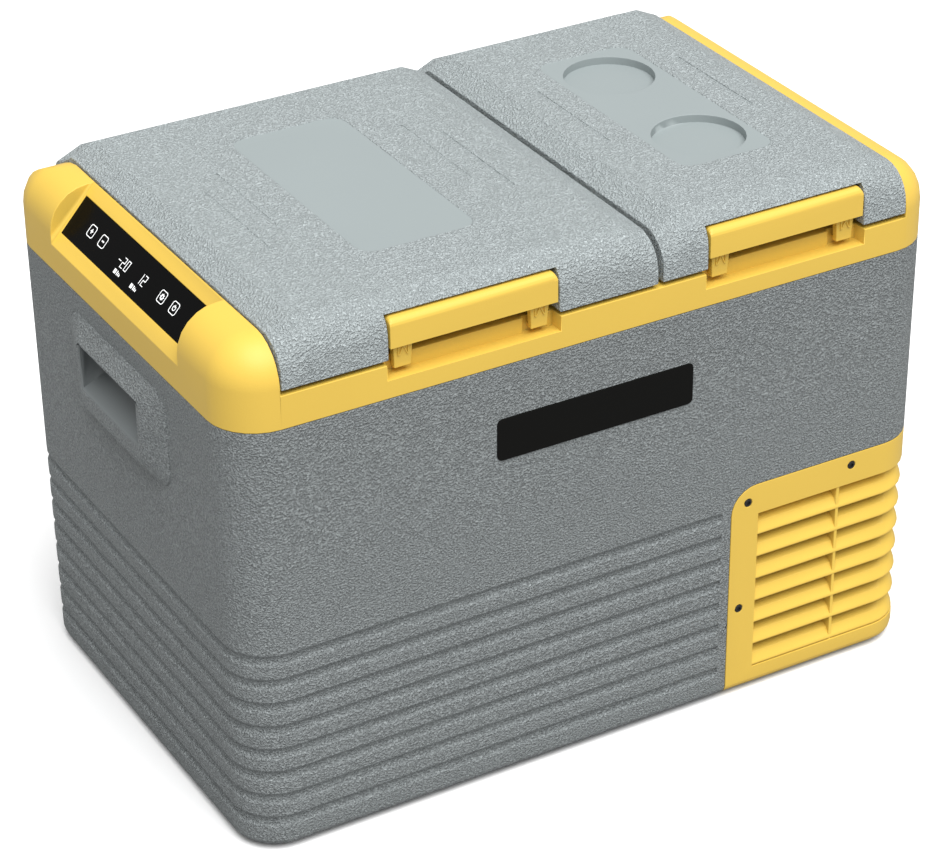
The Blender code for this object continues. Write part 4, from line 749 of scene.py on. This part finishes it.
@dataclass
class PanelMarks:
    """The lit signs on the touch panel, drawn in the panel's own plane.

    The drawing's x runs to the right for someone at the panel, its y up the slope, in millimetres.

    Args:
        stroke: Width of the lines.
        lift: Height of the marks over the glass.
        arc: Angle of one piece of a ring in degrees.
        least_arcs: Least number of pieces in a ring.
        key_row: Height of the touch keys' middles.
        keys: Places of the keys along the panel: plus, minus, gear and power.
        digit_size: Width and height of a digit.
        digit_pitch: Distance between digits, as a share of their width.
        digit_lean: Slant of the digits, as a share of their height.
        overlap: Added length of a digit's lines, as a share of the stroke.
        numbers: The numbers and their middles.
        level_bars: Place, width and height of each bar of a level sign, the tallest first.
        levels: Middles of the level signs.
        tilt: Least part of the glass face's normal that points up, and that points to the left.
    """

    stroke: float = 0.65
    lift: float = 0.12
    arc: float = 15.0
    least_arcs: int = 6
    key_row: float = 18.3
    keys: tuple[float, float, float, float] = (-81.9, -60.2, 51.7, 73.4)
    digit_size: tuple[float, float] = (3.9, 8.8)
    digit_pitch: float = 1.75
    digit_lean: float = 0.04
    overlap: float = 0.8
    numbers: tuple[tuple[str, tuple[float, float]], ...] = (("-20", (-18.5, 17.0)), ("12", (16.0, 17.6)))
    level_bars: tuple[tuple[float, float, float], ...] = (
        (-3.4, 3.6, 3.8), (0.6, 1.0, 3.8), (2.7, 1.0, 3.0), (4.8, 1.0, 2.2)
    )
    levels: tuple[tuple[float, float], ...] = ((-19.0, 7.6), (11.5, 7.8))
    tilt: float = 0.3
    segments: ClassVar[dict[str, tuple[tuple[float, float], tuple[float, float]]]] = {
        "a": ((-0.5, 1.0), (0.5, 1.0)),
        "b": ((0.5, 1.0), (0.5, 0.0)),
        "c": ((0.5, 0.0), (0.5, -1.0)),
        "d": ((-0.5, -1.0), (0.5, -1.0)),
        "e": ((-0.5, 0.0), (-0.5, -1.0)),
        "f": ((-0.5, 1.0), (-0.5, 0.0)),
        "g": ((-0.5, 0.0), (0.5, 0.0)),
    }
    digits: ClassVar[dict[str, str]] = {"-": "g", "0": "abcdef", "1": "bc", "2": "abged"}

    def bar(
        self, bm: bmesh.types.BMesh, centre: Vector, size: tuple[float, float], turn: float = 0.0
    ) -> None:
        """Adds a flat bar.

        Args:
            bm: The drawing.
            centre: The bar's middle.
            size: Its width and height.
            turn: Its turn in radians.
        """
        scale = Matrix.Diagonal((size[0], size[1], self.lift, 1.0))
        place = Matrix.Translation((centre.x, centre.y, self.lift / 2)) @ Matrix.Rotation(turn, 4, "Z")
        bmesh.ops.create_cube(bm, size=1.0, matrix=place @ scale)

    def ring(self, bm: bmesh.types.BMesh, centre: Vector, radius: float, start: float, sweep: float) -> None:
        """Adds a flat ring or part of one.

        Args:
            bm: The drawing.
            centre: The ring's middle.
            radius: Its middle radius.
            start: Start angle in degrees.
            sweep: Angle that it covers in degrees.
        """
        steps = max(self.least_arcs, round(sweep / self.arc))
        length = 2 * radius * math.sin(math.radians(sweep / steps / 2)) + self.stroke / 2
        for i in range(steps):
            angle = math.radians(start + sweep * (i + 0.5) / steps)
            spot = centre + radius * Vector((math.cos(angle), math.sin(angle)))
            self.bar(bm, spot, (length, self.stroke), angle + math.pi / 2)

    def key(self, bm: bmesh.types.BMesh, centre: Vector, size: float = 10.2, corner: float = 2.2) -> None:
        """Adds the rounded outline of a touch key.

        Args:
            bm: The drawing.
            centre: The key's middle.
            size: Its side.
            corner: Its corner radius.
        """
        reach = size / 2
        straight = size - 2 * corner
        for turn in range(4):
            angle = turn * math.pi / 2
            out = Vector((math.cos(angle), math.sin(angle)))
            self.bar(bm, centre + reach * out, (self.stroke, straight), angle)
            inner = reach - corner
            across = Vector((-out.y, out.x))
            self.ring(bm, centre + inner * (out + across), corner, math.degrees(angle), 90.0)

    def plus(self, bm: bmesh.types.BMesh, centre: Vector, size: float = 4.0, width: float = 1.1) -> None:
        """Adds a plus sign.

        Args:
            bm: The drawing.
            centre: The sign's middle.
            size: Length of its bars.
            width: Width of its bars.
        """
        self.bar(bm, centre, (size, width))
        self.bar(bm, centre, (width, size))

    def minus(self, bm: bmesh.types.BMesh, centre: Vector, size: float = 3.6, width: float = 1.2) -> None:
        """Adds a minus sign.

        Args:
            bm: The drawing.
            centre: The sign's middle.
            size: Length of its bar.
            width: Width of its bar.
        """
        self.bar(bm, centre, (size, width))

    def gear(
        self, bm: bmesh.types.BMesh, centre: Vector, radius: float = 1.5, teeth: int = 8,
        tooth: float = 1.0, reach: float = 2.3,
    ) -> None:
        """Adds a gear sign.

        Args:
            bm: The drawing.
            centre: The sign's middle.
            radius: Radius of its ring.
            teeth: Number of teeth.
            tooth: Side of a tooth.
            reach: Distance of the teeth from the middle.
        """
        self.ring(bm, centre, radius, 0.0, 360.0)
        for i in range(teeth):
            angle = i * 2 * math.pi / teeth
            self.bar(bm, centre + reach * Vector((math.cos(angle), math.sin(angle))), (tooth, tooth), angle)

    def power(
        self, bm: bmesh.types.BMesh, centre: Vector, radius: float = 2.0, gap: float = 70.0,
        line: tuple[float, float] = (0.8, 2.2), rise: float = 1.7,
    ) -> None:
        """Adds a power sign: a ring that is open at the top, with a line in the gap.

        Args:
            bm: The drawing.
            centre: The sign's middle.
            radius: Radius of the ring.
            gap: Angle of the gap in degrees.
            line: Width and height of the line.
            rise: Height of the line's middle.
        """
        self.ring(bm, centre, radius, 90.0 + gap / 2, 360.0 - gap)
        self.bar(bm, centre + Vector((0.0, rise)), line)

    def number(self, bm: bmesh.types.BMesh, text: str, centre: Vector) -> None:
        """Adds a number in slanted segments.

        Args:
            bm: The drawing.
            text: The signs of the number.
            centre: The number's middle.
        """
        width, height = self.digit_size
        pitch = width * self.digit_pitch
        lean = self.digit_lean * height
        for i, sign in enumerate(text):
            left = centre.x + (i - (len(text) - 1) / 2) * pitch
            for part in self.digits[sign]:
                (x0, y0), (x1, y1) = self.segments[part]
                start = Vector((left + x0 * width + y0 * lean, centre.y + y0 * height / 2))
                end = Vector((left + x1 * width + y1 * lean, centre.y + y1 * height / 2))
                along = end - start
                turn = math.atan2(along.y, along.x)
                length = along.length + self.stroke * self.overlap
                self.bar(bm, (start + end) / 2, (length, self.stroke), turn)

    def level(self, bm: bmesh.types.BMesh, centre: Vector) -> None:
        """Adds a small level sign: a solid block and three bars that stand on one line.

        Args:
            bm: The drawing.
            centre: The sign's middle.
        """
        tallest = self.level_bars[0][2]
        for x, width, height in self.level_bars:
            self.bar(bm, centre + Vector((x, (height - tallest) / 2)), (width, height))

    def draw(self) -> bmesh.types.BMesh:
        """Draws all the marks.

        Returns:
            The drawing, flat at the origin, in millimetres.
        """
        bm = bmesh.new()
        middles = [Vector((x, self.key_row)) for x in self.keys]
        for centre in middles:
            self.key(bm, centre)
        for sign, centre in zip((self.plus, self.minus, self.gear, self.power), middles):
            sign(bm, centre)
        for text, spot in self.numbers:
            self.number(bm, text, Vector(spot))
        for spot in self.levels:
            self.level(bm, Vector(spot))
        return bm

    def build(self) -> None:
        """Lays the marks on the panel and dresses the glass."""
        Skin("control_glass", PANEL_GLASS, edge=0.3 * MM).build()
        glass = frame["nodes"]["control_glass"].data
        face = max(
            glass.polygons, key=lambda p: p.area * (p.normal.z > self.tilt) * (p.normal.x < -self.tilt)
        )
        out = face.normal.copy()
        right = Vector((0.0, -1.0, 0.0))
        up = out.cross(right)
        foot = min((glass.vertices[i].co for i in face.vertices), key=lambda co: co.dot(up))
        origin = Vector((foot.x, 0.0, foot.z))
        turn = Matrix((right, up, out)).transposed().to_4x4()
        place = Matrix.Translation(origin) @ turn @ Matrix.Scale(MM, 4)
        bm = self.draw()
        bmesh.ops.transform(bm, matrix=place, verts=bm.verts)
        add_piece("panel_marks", bm, "cabinet", [MARK_WHITE])


@dataclass
class Interior:
    """The compartments and the machine bay, which show when a lid is open or through the louvres.

    Args:
        grommets: Number of grommets under the compressor.
    """

    grommets: int = 4

    def build(self) -> None:
        """Gives the inner pieces their finishes."""
        for name in ("liner_large", "liner_small"):
            Skin(name, WHITE_LINER, edge=0.8 * MM, crease=24.0, sharp=40.0).build()
        plain = {
            "control_board": BOARD, "evaporator": ALUMINIUM, "bay_partition": ALUMINIUM,
            "foam_insulation": FOAM, "base_plate": STEEL, "compressor": ENAMEL, "fan_frame": BLACK_PLASTIC,
            "fan_rotor": BLACK_PLASTIC, "condenser": ALUMINIUM, "driver_box": BLACK_PLASTIC,
            "lid_left_foam": FOAM, "lid_right_foam": FOAM, "latch_pin_left": STEEL,
            "latch_pin_right": STEEL, "inlet_contact_left": STEEL, "inlet_contact_right": STEEL,
        }
        plain.update({f"compressor_grommet_{i + 1}": RUBBER for i in range(self.grommets)})
        plain.update({f"hinge_pin_{side.value}_{end}": STEEL for side in Side for end in "ab"})
        for name, finish in plain.items():
            node = frame["nodes"][name]
            node.data.materials.clear()
            node.data.materials.append(finish.material())


@dataclass(frozen=True)
class PhotoCamera:
    """The photo's camera.

    Args:
        azimuth: Turn to the side in degrees.
        elevation: Height angle in degrees.
        roll: Turn about the line of sight in degrees.
        distance: Distance from the target in metres.
        target: The point that it turns about.
        lens: Focal length in millimetres.
        sensor: Width of the sensor in millimetres.
        shift: Shift of the picture, as shares of its width.
        farthest: Greatest distance that it sees in metres.
    """

    azimuth: float = -29.596
    elevation: float = 30.307
    roll: float = -0.711
    distance: float = 2.8712
    target: tuple[float, float, float] = (0.0, 0.0, 0.2)
    lens: float = 124.77
    sensor: float = 36.0
    shift: tuple[float, float] = (0.0001, 0.0086)
    farthest: float = 100.0

    def build(self) -> None:
        """Adds the camera to the scene."""
        data = bpy.data.cameras.new("photo_camera")
        data.lens = self.lens
        data.sensor_width = self.sensor
        data.shift_x, data.shift_y = self.shift
        data.clip_end = self.farthest
        camera = bpy.data.objects.new("photo_camera", data)
        bpy.context.scene.collection.objects.link(camera)
        back = direction(self.azimuth, self.elevation)
        side = math.radians(self.azimuth)
        level = Vector((math.cos(side), math.sin(side), 0.0))
        upright = back.cross(level)
        roll = math.radians(self.roll)
        right = math.cos(roll) * level + math.sin(roll) * upright
        up = math.cos(roll) * upright - math.sin(roll) * level
        place = Matrix((right, up, back)).transposed().to_4x4()
        place.translation = Vector(self.target) + self.distance * back
        camera.matrix_world = place
        bpy.context.scene.camera = camera


@dataclass(frozen=True)
class SoftLight:
    """A far soft light.

    Args:
        name: The light's name.
        azimuth: Side that it comes from in degrees, as for the camera.
        elevation: Height that it comes from in degrees.
        strength: Its strength.
        spread: The angle that it fills in degrees.
    """

    name: str
    azimuth: float
    elevation: float
    strength: float
    spread: float

    def build(self) -> None:
        """Adds the light to the scene."""
        data = bpy.data.lights.new(self.name, "SUN")
        data.energy = self.strength
        data.angle = math.radians(self.spread)
        light = bpy.data.objects.new(self.name, data)
        bpy.context.scene.collection.objects.link(light)
        source = direction(self.azimuth, self.elevation)
        light.rotation_euler = source.to_track_quat("Z", "Y").to_euler()


@dataclass
class Studio:
    """The pale floor, the lights and the white surroundings.

    Args:
        ambient: Strength of the light from all round.
        floor_size: Side of the floor in metres.
        floor_drop: Depth of the floor under the feet.
        floor_tone: The floor's brightness for the camera.
        floor_return: The share of light that the floor sends back to the object.
    """

    ambient: float = 0.56
    floor_size: float = 60.0
    floor_drop: float = 0.2 * MM
    floor_tone: float = 0.92
    floor_return: float = 0.35

    def floor_material(self) -> bpy.types.Material:
        """Builds the floor's finish: near white for the camera, middle grey for the light that it returns.

        Returns:
            The material.
        """
        material = bpy.data.materials.new("floor_white")
        material.use_nodes = True
        nodes = material.node_tree.nodes
        link = material.node_tree.links.new
        nodes.clear()
        output = nodes.new("ShaderNodeOutputMaterial")
        path = nodes.new("ShaderNodeLightPath")
        mix = nodes.new("ShaderNodeMixShader")
        link(path.outputs["Is Camera Ray"], mix.inputs["Fac"])
        for socket, tone in ((1, self.floor_return), (2, self.floor_tone)):
            shader = nodes.new("ShaderNodeBsdfDiffuse")
            shader.inputs["Color"].default_value = (tone, tone, tone, 1.0)
            link(shader.outputs["BSDF"], mix.inputs[socket])
        link(mix.outputs["Shader"], output.inputs["Surface"])
        return material

    def floor(self) -> None:
        """Adds the floor."""
        bm = bmesh.new()
        bmesh.ops.create_grid(bm, x_segments=1, y_segments=1, size=self.floor_size / 2)
        mesh = bpy.data.meshes.new("floor")
        bm.to_mesh(mesh)
        bm.free()
        mesh.materials.append(self.floor_material())
        floor = bpy.data.objects.new("floor", mesh)
        bpy.context.scene.collection.objects.link(floor)
        floor.location.z = -self.floor_drop

    def surroundings(self) -> None:
        """Sets the world to white for the camera and to soft light for everything else."""
        world = bpy.data.worlds.new("studio")
        bpy.context.scene.world = world
        world.use_nodes = True
        nodes = world.node_tree.nodes
        link = world.node_tree.links.new
        nodes.clear()
        output = nodes.new("ShaderNodeOutputWorld")
        light = nodes.new("ShaderNodeBackground")
        light.inputs["Strength"].default_value = self.ambient
        seen = nodes.new("ShaderNodeBackground")
        path = nodes.new("ShaderNodeLightPath")
        mix = nodes.new("ShaderNodeMixShader")
        link(path.outputs["Is Camera Ray"], mix.inputs["Fac"])
        link(light.outputs["Background"], mix.inputs[1])
        link(seen.outputs["Background"], mix.inputs[2])
        link(mix.outputs["Shader"], output.inputs["Surface"])

    def build(self) -> None:
        """Adds the whole studio."""
        self.floor()
        self.surroundings()
        SoftLight("key", azimuth=-6.0, elevation=64.0, strength=4.4, spread=55.0).build()
        scene = bpy.context.scene
        scene.view_settings.view_transform = "Standard"
        scene.cycles.use_denoising = True
        PhotoCamera().build()


def main() -> None:
    """Dresses the part and sets up the studio."""
    logging.basicConfig(level=logging.INFO)
    parts = [Cabinet(), TopFrame(), Lid(Side.LEFT), Lid(Side.RIGHT), VentBoot(), PanelMarks(), Interior()]
    for part in parts:
        part.build()
        LOG.info("dressed %s", type(part).__name__)
    Studio().build()


if __name__ == "__main__":
    main()
